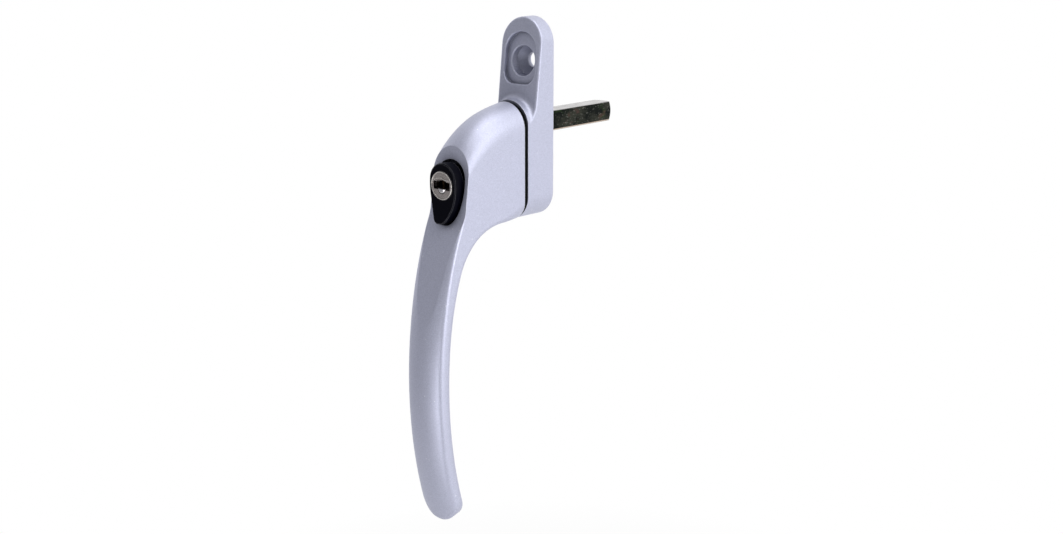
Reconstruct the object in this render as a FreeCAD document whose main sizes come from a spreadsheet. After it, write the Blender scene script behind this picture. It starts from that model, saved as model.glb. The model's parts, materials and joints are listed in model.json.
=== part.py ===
import FreeCAD, Part
import math
import os
import Sketcher

# Espagnolette window handle: window plate, turning lever, push lock and square spindle.
# Origin on the spindle axis at the plate's back. +Y goes into the window, -Y to the room, +Z up.

doc = FreeCAD.newDocument("WindowHandle")
sheet = doc.addObject("Spreadsheet::Sheet", "Sizes")
Vector = FreeCAD.Vector


class Size:
    """A value kept both as a number and as a formula on the sheet, so that shapes stay bound to it."""

    def __init__(self, number, formula):
        self.number = float(number)
        self.formula = formula

    def __add__(self, other):
        other = as_size(other)
        return Size(self.number + other.number, "(%s + %s)" % (self.formula, other.formula))

    def __sub__(self, other):
        other = as_size(other)
        return Size(self.number - other.number, "(%s - %s)" % (self.formula, other.formula))

    def __mul__(self, other):
        other = as_size(other)
        return Size(self.number * other.number, "(%s * %s)" % (self.formula, other.formula))

    def __truediv__(self, other):
        other = as_size(other)
        return Size(self.number / other.number, "(%s / %s)" % (self.formula, other.formula))

    def __neg__(self):
        return Size(-self.number, "(0 - %s)" % self.formula)


def as_size(value):
    return value if isinstance(value, Size) else Size(value, repr(float(value)))


def root(value):
    return Size(math.sqrt(value.number), "sqrt(%s)" % value.formula)


def tangent(angle):
    return Size(math.tan(math.radians(angle.number)), "tan(%s * 1 deg)" % angle.formula)


def size(alias, number):
    """Write one driving size on the sheet and give it back."""
    row = size.rows = getattr(size, "rows", 0) + 1
    sheet.set("A%d" % row, alias.replace("_", " "))
    sheet.set("B%d" % row, repr(float(number)))
    sheet.setAlias("B%d" % row, alias)
    return Size(number, "Sizes." + alias)


def bind(target, name, value):
    target.setExpression(name, as_size(value).formula)


# Window plate, a little wider than the lever's foot that stands on it
lever_width = size("lever_width", 17.7)
plate_margin = size("plate_margin", 0.22)
plate_top_centre = size("plate_top_centre", 27.3)
plate_bottom_centre = size("plate_bottom_centre", -23.5)
casting_draft = size("casting_draft", 1.25)
boss_height = size("boss_height", 12.8)
tab_height = size("tab_height", 7.3)
tab_tilt = size("tab_tilt", 6.8)
screw_centres = size("screw_centres", 43)
screw_hole_radius = size("screw_hole_radius", 2.6)
screw_seat_radius = size("screw_seat_radius", 5.1)
screw_seat_height = size("screw_seat_height", 2.5)
screw_seat_edge = size("screw_seat_edge", 0.3)
screw_boss_radius = size("screw_boss_radius", 4.9)
screw_boss_length = size("screw_boss_length", 1.6)
cap_recess_width = size("cap_recess_width", 13.8)
cap_recess_top = size("cap_recess_top", 31.2)
cap_recess_bottom = size("cap_recess_bottom", 13.6)
cap_recess_corner = size("cap_recess_corner", 4.2)
cap_recess_depth = size("cap_recess_depth", 1.8)
boss_root_radius = size("boss_root_radius", 2.2)
tab_edge_radius = size("tab_edge_radius", 0.8)
recess_edge_radius = size("recess_edge_radius", 0.5)

# Lever
lever_gap = size("lever_gap", 1.8)
head_top = size("head_top", 8.45)
head_fall_slope = size("head_fall_slope", 0.169)
head_fall = size("head_fall", 8.35)
head_reach = size("head_reach", 26.4)
lever_draft = size("lever_draft", 1.5)
bow_front = size("bow_front", -57.4)
bow_height = size("bow_height", -86)
bow_radius = size("bow_radius", 168)
brow_radius = size("brow_radius", 130)
brow_bottom = size("brow_bottom", -50)
hollow_radius = size("hollow_radius", 12)
hollow_bottom = size("hollow_bottom", -28)
facet_tilt = size("facet_tilt", 7.5)
facet_front = size("facet_front", -60.06)
facet_height = size("facet_height", -104.7)
facet_radius = size("facet_radius", 208)
facet_bottom = size("facet_bottom", -68)
facet_brow_radius = size("facet_brow_radius", 70)
facet_brow_bottom = size("facet_brow_bottom", -42)
facet_hollow_radius = size("facet_hollow_radius", 12)
facet_hollow_bottom = size("facet_hollow_bottom", -28)
crown_height = size("crown_height", 2.4)
back_front = size("back_front", -50.91)
back_radius = size("back_radius", 160)
bend_bottom = size("bend_bottom", -68.8)
bend_radius = size("bend_radius", 99.4)
knee_bottom = size("knee_bottom", -45)
knee_radius = size("knee_radius", 22.8)
crook_bottom = size("crook_bottom", -34.8)
crook_radius = size("crook_radius", 18.5)
base_bottom = size("base_bottom", -31.9)
tip_bottom = size("tip_bottom", -135.5)
tip_tilt = size("tip_tilt", 12.7)
tip_flat = size("tip_flat", 0.33)
edge_radius = size("edge_radius", 1.3)
neck_radius = size("neck_radius", 6.3)

base_corner_radius = size("base_corner_radius", 7)
under_edge_radius = size("under_edge_radius", 4.6)
knee_edge_radius = size("knee_edge_radius", 2.2)

# Neck and spindle, shared by the rose, the lever and everything on the spindle axis
fit_gap = size("fit_gap", 0.05)
through_reach = size("through_reach", 80)
neck_length = size("neck_length", 10)
spindle_square = size("spindle_square", 7)
spindle_end = size("spindle_end", 40)
spindle_start = size("spindle_start", 20)
spindle_chamfer = size("spindle_chamfer", 1.2)
spindle_nose = size("spindle_nose", 3.05)
spindle_pin_radius = size("spindle_pin_radius", 1.25)
spindle_pin_front = size("spindle_pin_front", 9.5)
clip_front = size("clip_front", 5.05)
clip_thickness = size("clip_thickness", 1)
clip_groove_radius = size("clip_groove_radius", 5.6)
clip_radius = size("clip_radius", 7)
bush_radius = size("bush_radius", 7.2)
chamber_half = size("chamber_half", 7.3)
chamber_bottom = size("chamber_bottom", -8.8)
chamber_top = size("chamber_top", 10.2)
chamber_depth = size("chamber_depth", 6.6)
chamber_corner = size("chamber_corner", 1.5)
back_plate_half = size("back_plate_half", 7.95)
back_plate_bottom = size("back_plate_bottom", -12.6)
back_plate_top = size("back_plate_top", 13.9)
back_plate_thickness = size("back_plate_thickness", 0.8)
back_plate_bore = size("back_plate_bore", 5.3)
rivet_radius = size("rivet_radius", 1)
rivet_depth = size("rivet_depth", 4)
upper_rivet_height = size("upper_rivet_height", 11.95)
lower_rivet_height = size("lower_rivet_height", -10.7)
washer_thickness = size("washer_thickness", 0.5)
cam_square = size("cam_square", 9.6)
cam_corner_radius = size("cam_corner_radius", 6.2)
cam_thickness = size("cam_thickness", 3)
cam_back = size("cam_back", 1.5)
leaf_thickness = size("leaf_thickness", 0.6)
leaf_width = size("leaf_width", 2.4)
leaf_reach = size("leaf_reach", 6.4)
leaf_rise = size("leaf_rise", 3.9)
slide_plate_inset = size("slide_plate_inset", 0.5)
slide_plate_gap = size("slide_plate_gap", 0.1)
slide_plate_corner = size("slide_plate_corner", 6.9)

# Push lock in the lever
lock_height = size("lock_height", -15.8)
button_face = size("button_face", 45.3)
button_top_radius = size("button_top_radius", 5.88)
button_top_centre = size("button_top_centre", -14.35)
button_side_radius = size("button_side_radius", 22)
button_side_height = size("button_side_height", -15.84)
button_side_bulge = size("button_side_bulge", 5.97)
button_foot_radius = size("button_foot_radius", 2.8)
button_foot_bottom = size("button_foot_bottom", -28.3)
button_flat_bottom = size("button_flat_bottom", -19)
button_brim_radius = size("button_brim_radius", 21)
button_tail_back = size("button_tail_back", 41.5)
button_barrel_radius = size("button_barrel_radius", 5.85)
button_back = size("button_back", 33.6)
button_edge_bevel = size("button_edge_bevel", 0.3)
button_gap = size("button_gap", 0.8)
button_travel = size("button_travel", 4.5)
lug_reach = size("lug_reach", 6.6)
lug_half_height = size("lug_half_height", 1.2)
lug_back = size("lug_back", 34.2)
lug_front = size("lug_front", 36)
plug_face = size("plug_face", 45.5)
plug_radius = size("plug_radius", 4.72)
plug_rim = size("plug_rim", 1.15)
plug_edge_bevel = size("plug_edge_bevel", 0.25)
plug_body_radius = size("plug_body_radius", 3.95)
plug_body_back = size("plug_body_back", 33.8)
plug_tail_radius = size("plug_tail_radius", 2.2)
plug_tail_flat = size("plug_tail_flat", 1.6)
plug_tail_back = size("plug_tail_back", 27.5)
keyway_half = size("keyway_half", 3.5)
keyway_half_height = size("keyway_half_height", 1.1)
keyway_notch_half = size("keyway_notch_half", 1.2)
keyway_notch_top = size("keyway_notch_top", 1.7)
keyway_depth = size("keyway_depth", 10)
keyway_step_margin = size("keyway_step_margin", 0.25)
keyway_step_depth = size("keyway_step_depth", 0.9)
post_radius = size("post_radius", 1.65)
post_drop = size("post_drop", 1)
post_dome = size("post_dome", 0.8)
post_face = size("post_face", 45.9)
wafer_thickness = size("wafer_thickness", 0.8)
wafer_half = size("wafer_half", 2.6)
wafer_front = size("wafer_front", 42.5)
wafer_pitch = size("wafer_pitch", 2)
housing_radius = size("housing_radius", 5.05)
housing_bore = size("housing_bore", 4)
housing_front = size("housing_front", 44.1)
plug_cam_front = size("plug_cam_front", 31.85)
plug_cam_thickness = size("plug_cam_thickness", 1.4)
plug_cam_hub = size("plug_cam_hub", 2.9)
plug_cam_reach = size("plug_cam_reach", 5.3)
plug_cam_half = size("plug_cam_half", 2.4)
cam_clip_thickness = size("cam_clip_thickness", 0.6)
cam_clip_radius = size("cam_clip_radius", 2.7)
cam_clip_groove = size("cam_clip_groove", 1.7)
keeper_back = size("keeper_back", 27.5)
keeper_thickness = size("keeper_thickness", 1.5)
keeper_slot_half = size("keeper_slot_half", 2.9)
keeper_slot_bottom = size("keeper_slot_bottom", -5.45)
keeper_slot_top = size("keeper_slot_top", 3.2)
pocket_radius = size("pocket_radius", 5.97)
pocket_rear_radius = size("pocket_rear_radius", 5.6)
bolt_height = size("bolt_height", -12.4)
bolt_radius = size("bolt_radius", 2)
bolt_end = size("bolt_end", 13.6)
bolt_foot_radius = size("bolt_foot_radius", 5.48)
bolt_foot_front = size("bolt_foot_front", 27.4)
bolt_foot_thickness = size("bolt_foot_thickness", 1.8)
bolt_pocket_radius = size("bolt_pocket_radius", 2.3)
end_gap = size("end_gap", 0.5)
spring_bore_radius = size("spring_bore_radius", 3.3)
spring_seat = size("spring_seat", 17.6)
spring_radius = size("spring_radius", 2.6)
spring_wire = size("spring_wire", 0.5)
spring_turns = size("spring_turns", 4)


def make_body(name):
    body = doc.addObject("PartDesign::Body", name)
    body.Label = name
    return body


def make_sketch(body, name, role, lift=0):
    """A sketch flat on one of the body's own planes, lifted off it along the plane's normal."""
    sketch = body.newObject("Sketcher::SketchObject", name)
    plane = next(item for item in body.Origin.OriginFeatures if item.Role == role)
    sketch.AttachmentSupport = [(plane, "")]
    sketch.MapMode = "FlatFace"
    bind(sketch, "AttachmentOffset.Base.z", lift)
    return sketch


def hold(sketch, kind, value, *where):
    """Add a constraint whose value is bound to the sheet."""
    value = as_size(value)
    number = sketch.addConstraint(Sketcher.Constraint(kind, *where, value.number))
    sketch.setExpression("Constraints[%d]" % number, value.formula)


def pin(sketch, piece, end, across, along):
    hold(sketch, "DistanceX", across, -1, 1, piece, end)
    hold(sketch, "DistanceY", along, -1, 1, piece, end)


def draw_line(sketch, start, end):
    line = Part.LineSegment(Vector(start[0], start[1], 0), Vector(end[0], end[1], 0))
    return sketch.addGeometry(line)


def draw_arc(sketch, centre, radius, start, end):
    """Arc that turns left from start to end, both points on the circle."""
    circle = Part.Circle(Vector(centre[0], centre[1], 0), Vector(0, 0, 1), radius)
    first = math.atan2(start[1] - centre[1], start[0] - centre[0])
    last = math.atan2(end[1] - centre[1], end[0] - centre[0])
    if last < first:
        last += 2 * math.pi
    return sketch.addGeometry(Part.ArcOfCircle(circle, first, last))


def outline(sketch, corners):
    """Closed outline, turning left. A third value in a corner is the radius of the edge after it,
    and a negative radius bends that edge inwards."""
    ends = []
    for place, corner in enumerate(corners):
        start = [as_size(value).number for value in corner[:2]]
        end = [as_size(value).number for value in corners[(place + 1) % len(corners)][:2]]
        if len(corner) == 2:
            ends.append((draw_line(sketch, start, end), 1, 2))
            continue
        radius = as_size(corner[2])
        inwards = radius.number < 0
        reach = abs(radius.number)
        run = [end[0] - start[0], end[1] - start[1]]
        chord = math.hypot(*run)
        depth = math.sqrt(max(reach ** 2 - chord ** 2 / 4, 0)) / chord
        depth = -depth if inwards else depth
        centre = [(start[0] + end[0]) / 2 - run[1] * depth, (start[1] + end[1]) / 2 + run[0] * depth]
        if inwards:
            ends.append((draw_arc(sketch, centre, reach, end, start), 2, 1))
        else:
            ends.append((draw_arc(sketch, centre, reach, start, end), 1, 2))
        hold(sketch, "Radius", -radius if inwards else radius, ends[-1][0])
    for place, (piece, first, last) in enumerate(ends):
        following = ends[(place + 1) % len(ends)]
        sketch.addConstraint(Sketcher.Constraint("Coincident", piece, last, following[0], following[1]))
        pin(sketch, piece, first, corners[place][0], corners[place][1])


def draw_circle(sketch, across, along, radius):
    across, along, radius = as_size(across), as_size(along), as_size(radius)
    centre = Vector(across.number, along.number, 0)
    circle = sketch.addGeometry(Part.Circle(centre, Vector(0, 0, 1), radius.number))
    pin(sketch, circle, 3, across, along)
    hold(sketch, "Radius", radius, circle)


def slot_outline(sketch, half, low, high):
    """Upright slot with half-round ends, centred on the sheet's vertical axis."""
    low, high = as_size(low), as_size(high)
    outline(sketch, [
        (half, low),
        (half, high, half),
        (0, high + half, half),
        (-half, high),
        (-half, low, half),
        (0, low - half, half),
    ])


def smooth_run(sketch, front, height, radii, levels, end_angle=0):
    """Chain of arcs without corners, drawn upwards in a side view.

    The first arc's foremost point is (front, height). The levels are the heights of the chain's
    start and joints, and of its end if that is fixed. A negative radius swings the curve the other
    way. Where the end is free, a touching line fixes it, and the end angle is only a first guess."""
    pieces = []
    side = 1
    reach = radii[0].number
    centre = [front.number + reach, height.number]
    low = None
    for place, radius in enumerate(radii):
        if place:
            inward = [side * (centre[0] - low[0]) / reach, side * (centre[1] - low[1]) / reach]
            side = 1 if radius.number > 0 else -1
            reach = abs(radius.number)
            centre = [low[0] + side * reach * inward[0], low[1] + side * reach * inward[1]]
        else:
            rise = levels[0].number - centre[1]
            low = [centre[0] - math.sqrt(reach ** 2 - rise ** 2), levels[0].number]
        if place + 1 < len(levels):
            rise = levels[place + 1].number - centre[1]
            high = [centre[0] - side * math.sqrt(reach ** 2 - rise ** 2), levels[place + 1].number]
        else:
            turn = math.radians(end_angle)
            high = [centre[0] - side * reach * math.cos(turn), centre[1] - side * reach * math.sin(turn)]
        if side > 0:
            pieces.append((draw_arc(sketch, centre, reach, high, low), 2, 1))
        else:
            pieces.append((draw_arc(sketch, centre, reach, low, high), 1, 2))
        piece, first, last = pieces[-1]
        hold(sketch, "Radius", radius if side > 0 else -radius, piece)
        if place:
            before = pieces[-2]
            sketch.addConstraint(Sketcher.Constraint("Tangent", before[0], before[2], piece, first))
        else:
            pin(sketch, piece, 3, front + radius, height)
            hold(sketch, "DistanceY", levels[0], -1, 1, piece, first)
        if place + 1 < len(levels):
            hold(sketch, "DistanceY", levels[place + 1], -1, 1, piece, last)
        low = high
    return pieces, low


def lean_line(sketch, before, start, top, tilt):
    """Line that goes on from a chain without a corner, up to the height top, leaning to the room."""
    rise = top.number - start[1]
    end = [start[0] + rise * math.tan(math.radians(tilt.number)), top.number]
    line = draw_line(sketch, start, end)
    sketch.addConstraint(Sketcher.Constraint("Tangent", before[0], before[2], line, 1))
    heading = 90 - tilt.number
    number = sketch.addConstraint(Sketcher.Constraint("Angle", line, math.radians(heading)))
    sketch.setExpression("Constraints[%d]" % number, "(90 - %s) * 1 deg" % tilt.formula)
    hold(sketch, "DistanceY", top, -1, 1, line, 2)
    return line, end


def close_chain(sketch, previous, point, corners, start, start_point):
    """Straight lines from a chain's open end through far corners back to its start."""
    for corner in corners:
        across, along = as_size(corner[0]), as_size(corner[1])
        line = draw_line(sketch, point, [across.number, along.number])
        sketch.addConstraint(Sketcher.Constraint("Coincident", previous[0], previous[1], line, 1))
        pin(sketch, line, 2, across, along)
        previous = line, 2
        point = [across.number, along.number]
    line = draw_line(sketch, point, start_point)
    sketch.addConstraint(Sketcher.Constraint("Coincident", previous[0], previous[1], line, 1))
    sketch.addConstraint(Sketcher.Constraint("Coincident", line, 2, start[0], start[1]))


def cut(body, name, sketch, depth, both_ways=False, backwards=False):
    pocket = body.newObject("PartDesign::Pocket", name)
    pocket.Profile = sketch
    bind(pocket, "Length", depth)
    pocket.Midplane = both_ways
    pocket.Reversed = backwards
    return pocket


def grow(body, name, sketch, length, backwards=False):
    pad = body.newObject("PartDesign::Pad", name)
    pad.Profile = sketch
    bind(pad, "Length", length)
    pad.Reversed = backwards
    return pad


def edges_where(feature, wanted):
    """Names of the edges whose middle point meets the test."""
    names = []
    for number, edge in enumerate(feature.Shape.Edges, 1):
        middle = edge.valueAt((edge.FirstParameter + edge.LastParameter) / 2)
        if wanted(edge, middle):
            names.append("Edge%d" % number)
    return names


def round_off(body, name, feature, wanted, radius):
    fillet = body.newObject("PartDesign::Fillet", name)
    fillet.Base = (feature, edges_where(feature, wanted))
    bind(fillet, "Radius", radius)
    doc.recompute()
    return fillet


def turn(body, name, corners):
    """Solid of revolution about the body's own Y axis. Corners are (lift towards the room, radius)."""
    sketch = make_sketch(body, name + "_profile", "YZ_Plane")
    outline(sketch, [(-as_size(lift), radius) for lift, radius in corners])
    turned = body.newObject("PartDesign::Revolution", name)
    turned.Profile = sketch
    turned.ReferenceAxis = (sketch, ["H_Axis"])
    turned.Angle = 360
    doc.recompute()
    return turned


def groove(body, name, corners):
    """Cut turned about the body's own Y axis."""
    sketch = make_sketch(body, name + "_profile", "YZ_Plane")
    outline(sketch, [(-as_size(lift), radius) for lift, radius in corners])
    turned = body.newObject("PartDesign::Groove", name)
    turned.Profile = sketch
    turned.ReferenceAxis = (sketch, ["H_Axis"])
    turned.Angle = 360
    doc.recompute()
    return turned


def block(sketch, half, low, high):
    outline(sketch, [(-half, low), (half, low), (half, high), (-half, high)])


def soft_block(sketch, half, low, high, corner):
    """Rectangle with round corners."""
    outline(sketch, [
        (half - corner, low, corner),
        (half, low + corner),
        (half, high - corner, corner),
        (half - corner, high),
        (-half + corner, high, corner),
        (-half, high - corner),
        (-half, low + corner, corner),
        (-half + corner, low),
    ])


def place(body, height):
    """Set a body that is modelled on its own axis at its height on the handle."""
    bind(body, "Placement.Base.z", height)

# Window plate, cast with a raised boss below and a thinner tab above. It starts as a wide block, so that the
# fillet round the boss runs out past the sides, and is then trimmed to the plate's drafted outline.
plate_half = lever_width / 2 + plate_margin
screw_height = screw_centres / 2
tab_lean = tangent(tab_tilt)
trim = make_body("plate_trim")
foot_print = make_sketch(trim, "plate_outline", "XZ_Plane")
slot_outline(foot_print, plate_half, plate_bottom_centre, plate_top_centre)
trim_block = grow(trim, "plate_trim_block", foot_print, boss_height + 1)
bind(trim_block, "TaperAngle", -casting_draft)

rose = make_body("rose")
wide = plate_half + 6
plate_top = plate_top_centre + plate_half + 4
plate_bottom = plate_bottom_centre - plate_half - 4
tab_side = make_sketch(rose, "tab_side_outline", "YZ_Plane")
outline(tab_side, [
    (0, plate_bottom),
    (0, plate_top),
    (-tab_height + tab_lean * (plate_top - screw_height), plate_top),
    (-tab_height - tab_lean * screw_height, 0),
    (-tab_height - tab_lean * screw_height, plate_bottom),
])
tab = grow(rose, "tab", tab_side, wide * 2)
tab.Midplane = True
arch_radius = plate_half - (boss_height - tab_height) * tangent(casting_draft)
boss_print = make_sketch(rose, "boss_outline", "XZ_Plane")
outline(boss_print, [
    (-wide, plate_bottom),
    (wide, plate_bottom),
    (wide, 0),
    (arch_radius, 0, arch_radius),
    (0, arch_radius, arch_radius),
    (-arch_radius, 0),
    (-wide, 0),
])
boss = grow(rose, "boss", boss_print, boss_height)
doc.recompute()


def at_boss_root(edge, middle):
    """Edges where the boss rises out of the tab."""
    reach = math.hypot(middle.x, middle.z)
    beside_boss = middle.z > 1 and reach < arch_radius.number + 0.3
    return beside_boss and -boss_height.number + 0.5 < middle.y < -7 and edge.Length > 4


blended = round_off(rose, "boss_root", boss, at_boss_root, boss_root_radius)
trimmed = rose.newObject("PartDesign::Boolean", "plate_sides")
trimmed.Type = "Common"
trimmed.setObjects([trim])
doc.recompute()


def at_tab_rim(edge, middle):
    return middle.z > 12 and middle.y < -4.5 and edge.Length > 3


softened = round_off(rose, "tab_rim", trimmed, at_tab_rim, tab_edge_radius)

# Recess for the cover cap, sunk square to the leaning front of the tab
recess = make_sketch(rose, "cap_recess_outline", "XZ_Plane")
recess.AttachmentOffset = FreeCAD.Placement(Vector(0, 0, 0), FreeCAD.Rotation(Vector(-1, 0, 0), 1))
bind(recess, "AttachmentOffset.Base.y", screw_height)
bind(recess, "AttachmentOffset.Base.z", tab_height - cap_recess_depth)
recess.setExpression("AttachmentOffset.Rotation.Angle", tab_tilt.formula)
recess_half = cap_recess_width / 2
low = cap_recess_bottom - screw_height
high = cap_recess_top - recess_half - screw_height
outline(recess, [
    (recess_half - cap_recess_corner, low, cap_recess_corner),
    (recess_half, low + cap_recess_corner),
    (recess_half, high, recess_half),
    (0, high + recess_half, recess_half),
    (-recess_half, high),
    (-recess_half, low + cap_recess_corner, cap_recess_corner),
    (-recess_half + cap_recess_corner, low),
])
sunk = cut(rose, "cap_recess", recess, 10, backwards=True)
doc.recompute()


def at_recess_rim(edge, middle):
    on_tab = middle.z > 12 and middle.y < -tab_height.number + 2.2 and edge.Length > 2
    return on_tab and abs(middle.x) < recess_half.number + 0.2 and recess_front(middle) < 0.3


def recess_front(point):
    """Distance of a point behind the leaning front."""
    return point.y + tab_height.number + tab_lean.number * (screw_height.number - point.z)


rimmed = round_off(rose, "recess_rim", sunk, at_recess_rim, recess_edge_radius)

# Short bosses behind the plate, which stand in the window's bores, and the countersunk screw seats
screw_bosses = make_sketch(rose, "screw_bosses_outline", "XZ_Plane", -screw_boss_length)
draw_circle(screw_bosses, 0, screw_height, screw_boss_radius)
draw_circle(screw_bosses, 0, -screw_height, screw_boss_radius)
grow(rose, "screw_bosses", screw_bosses, screw_boss_length + 0.5)
seats = make_sketch(rose, "screw_seats_outline", "XZ_Plane", screw_seat_height)
draw_circle(seats, 0, screw_height, screw_seat_radius)
draw_circle(seats, 0, -screw_height, screw_seat_radius)
seated = cut(rose, "screw_seats", seats, 20, backwards=True)
doc.recompute()


def at_seat_rim(edge, middle):
    around = 2 * math.pi * screw_seat_radius.number
    return middle.y < -screw_seat_height.number - 1 and middle.z > 12 and abs(edge.Length - around) < 1


seat_rim = rose.newObject("PartDesign::Chamfer", "screw_seat_rim")
seat_rim.Base = (seated, edges_where(seated, at_seat_rim))
bind(seat_rim, "Size", screw_seat_edge)
doc.recompute()
holes = make_sketch(rose, "screw_holes_outline", "XZ_Plane", -screw_boss_length)
draw_circle(holes, 0, screw_height, screw_hole_radius)
draw_circle(holes, 0, -screw_height, screw_hole_radius)
drilled = cut(rose, "screw_holes", holes, 20, backwards=True)
doc.recompute()


def at_seat_edge(edge, middle):
    around = 2 * math.pi * screw_hole_radius.number
    return abs(middle.y + screw_seat_height.number) < 0.01 and abs(edge.Length - around) < 0.5


sunk_seats = rose.newObject("PartDesign::Chamfer", "screw_seat_cones")
sunk_seats.Base = (drilled, edges_where(drilled, at_seat_edge))
bind(sunk_seats, "Size", screw_seat_radius - screw_hole_radius - 0.02)
doc.recompute()

# Bore, index chamber, back plate seat and bolt pocket, which takes the bolt at the end of its travel
bolt_pocket_floor = bolt_end - button_travel - end_gap
bore = make_sketch(rose, "neck_bore_outline", "XZ_Plane", chamber_depth - 1)
draw_circle(bore, 0, 0, bush_radius + 0.02)
cut(rose, "neck_bore", bore, 20, backwards=True)
chamber = make_sketch(rose, "chamber_outline", "XZ_Plane")
soft_block(chamber, chamber_half, chamber_bottom, chamber_top, chamber_corner)
cut(rose, "index_chamber", chamber, chamber_depth, backwards=True)
seat = make_sketch(rose, "back_plate_seat_outline", "XZ_Plane")
seat_half = back_plate_half + 0.1
soft_block(seat, seat_half, back_plate_bottom - 0.1, back_plate_top + 0.1, chamber_corner)
cut(rose, "back_plate_seat", seat, back_plate_thickness + 0.02, backwards=True)
rivets = make_sketch(rose, "rivet_holes_outline", "XZ_Plane")
draw_circle(rivets, 0, upper_rivet_height, rivet_radius + 0.02)
draw_circle(rivets, 0, lower_rivet_height, rivet_radius + 0.02)
cut(rose, "rivet_holes", rivets, rivet_depth + 0.1, backwards=True)
pocket = make_sketch(rose, "bolt_pocket_outline", "XZ_Plane", bolt_pocket_floor)
draw_circle(pocket, 0, bolt_height, bolt_pocket_radius)
rose_end = cut(rose, "bolt_pocket", pocket, 10, backwards=True)
doc.recompute()

# Egg outline that the button and its well share, drawn about the lock's axis
top_centre = button_top_centre - lock_height
side_height = button_side_height - lock_height
foot_centre = button_foot_bottom + button_foot_radius - lock_height
side_centre = button_side_radius - button_side_bulge


def egg(sketch, margin, height):
    """Egg outline of the button, grown by a margin, drawn at a height."""
    top = button_top_radius + margin
    side = button_side_radius + margin
    foot = button_foot_radius + margin
    upper_span = root(side_centre * side_centre + (top_centre - side_height) * (top_centre - side_height))
    lower_span = root(side_centre * side_centre + (foot_centre - side_height) * (foot_centre - side_height))
    shoulder_x = side * side_centre / upper_span - side_centre
    shoulder_z = side_height + side * (top_centre - side_height) / upper_span
    ankle_x = side * side_centre / lower_span - side_centre
    ankle_z = side_height + side * (foot_centre - side_height) / lower_span
    outline(sketch, [
        (0, foot_centre - foot + height, foot),
        (ankle_x, ankle_z + height, side),
        (shoulder_x, shoulder_z + height, top),
        (0, top_centre + top + height, top),
        (-shoulder_x, shoulder_z + height, side),
        (-ankle_x, ankle_z + height, foot),
    ])


# Sizes that several parts share. The wells leave the button, its bolt and the bolt's foot their full travel.
socket_half = spindle_square / 2 + fit_gap
tail_pocket_floor = button_tail_back - button_travel - end_gap
pocket_floor = bolt_foot_front - bolt_foot_thickness - button_travel - end_gap + 0.3


# Lever: arches lofted from the base towards the room, then cut to the bow of the grip in side view
base_front = boss_height + lever_gap
lever_reach = -bow_front - base_front + 4
lever_floor = tip_bottom - 12
lever = make_body("lever_casting")
arches = []
for share in (0, 0.17, 0.34, 0.52, 0.72, 1):
    ahead = lever_reach * share
    fall = ahead / head_reach
    half = lever_width / 2 - ahead * tangent(lever_draft)
    top = head_top - ahead * head_fall_slope - head_fall * fall * fall * fall
    arch = make_sketch(lever, "arch_%d" % len(arches), "XZ_Plane", base_front + ahead)
    outline(arch, [
        (half, lever_floor),
        (half, top - half, half),
        (0, top, half),
        (-half, top - half),
        (-half, lever_floor),
    ])
    arches.append(arch)
body_block = lever.newObject("PartDesign::AdditiveLoft", "head_and_grip")
body_block.Profile = arches[0]
body_block.Sections = arches[1:]

back = make_sketch(lever, "back_of_grip", "YZ_Plane")
chain, point = smooth_run(
    back, back_front, bow_height, [back_radius, bend_radius, knee_radius, crook_radius],
    [lever_floor - 5, bend_bottom, knee_bottom, crook_bottom], -84,
)
under = draw_line(back, point, [-base_front.number, base_bottom.number])
back.addConstraint(Sketcher.Constraint("Tangent", chain[-1][0], chain[-1][2], under, 1))
pin(back, under, 2, -base_front, base_bottom)
close_chain(
    back, (under, 2), [-base_front.number, base_bottom.number],
    [(-base_front + 5, base_bottom), (-base_front + 5, lever_floor - 5)],
    chain[0][:2], [-36, lever_floor.number - 5],
)
doc.recompute()
shaped = cut(lever, "back_cut", back, lever_width * 2, both_ways=True)
doc.recompute()

tip_rise = tangent(tip_tilt)
tip = make_sketch(lever, "tip_line", "YZ_Plane")
outline(tip, [
    (bow_front - 20, tip_bottom - tip_rise * 20),
    (bow_front - 20, lever_floor - 10),
    (bow_front + 50, lever_floor - 10),
    (bow_front + 50, tip_bottom + tip_rise * 50),
])
shaped = cut(lever, "tip_cut", tip, lever_width * 2, both_ways=True)
doc.recompute()
half_at_tip = lever_width / 2 - (-bow_front - base_front) * tangent(lever_draft)


def at_tip_corner(edge, middle):
    at_tip = middle.z < tip_bottom.number + 8 and abs(middle.x) > half_at_tip.number - 0.6
    return at_tip and edge.Length > 10 and abs(edge.tangentAt(edge.FirstParameter).y) > 0.8


rounded = round_off(lever, "tip_round", shaped, at_tip_corner, half_at_tip - tip_flat)

spine = make_sketch(lever, "crown_line", "YZ_Plane")
spine_start = lever_floor
chain, point = smooth_run(
    spine, bow_front, bow_height, [bow_radius, brow_radius, -hollow_radius],
    [spine_start, brow_bottom, hollow_bottom], -facet_tilt.number,
)
lean_line(spine, chain[-1], point, head_top, facet_tilt)
doc.recompute()
start_rise = bow_height - spine_start
start_depth = bow_radius - root(bow_radius * bow_radius - start_rise * start_rise)
half = lever_width / 2
crown_radius = (half * half + crown_height * crown_height) / (crown_height * 2)
crown = make_sketch(lever, "crown_section", "XY_Plane")
crown.AttachmentOffset = FreeCAD.Placement(Vector(0, 0, 0), FreeCAD.Rotation(Vector(1, 0, 0), 1))
bind(crown, "AttachmentOffset.Base.y", bow_front + start_depth)
bind(crown, "AttachmentOffset.Base.z", spine_start)
crown.setExpression("AttachmentOffset.Rotation.Angle", "asin(%s)" % (start_rise / bow_radius).formula)
wide = half + 2
drop = crown_radius - root(crown_radius * crown_radius - wide * wide)
outline(crown, [
    (-wide, -16),
    (wide, -16),
    (wide, drop, -crown_radius),
    (0, 0, -crown_radius),
    (-wide, drop),
])
doc.recompute()
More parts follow.
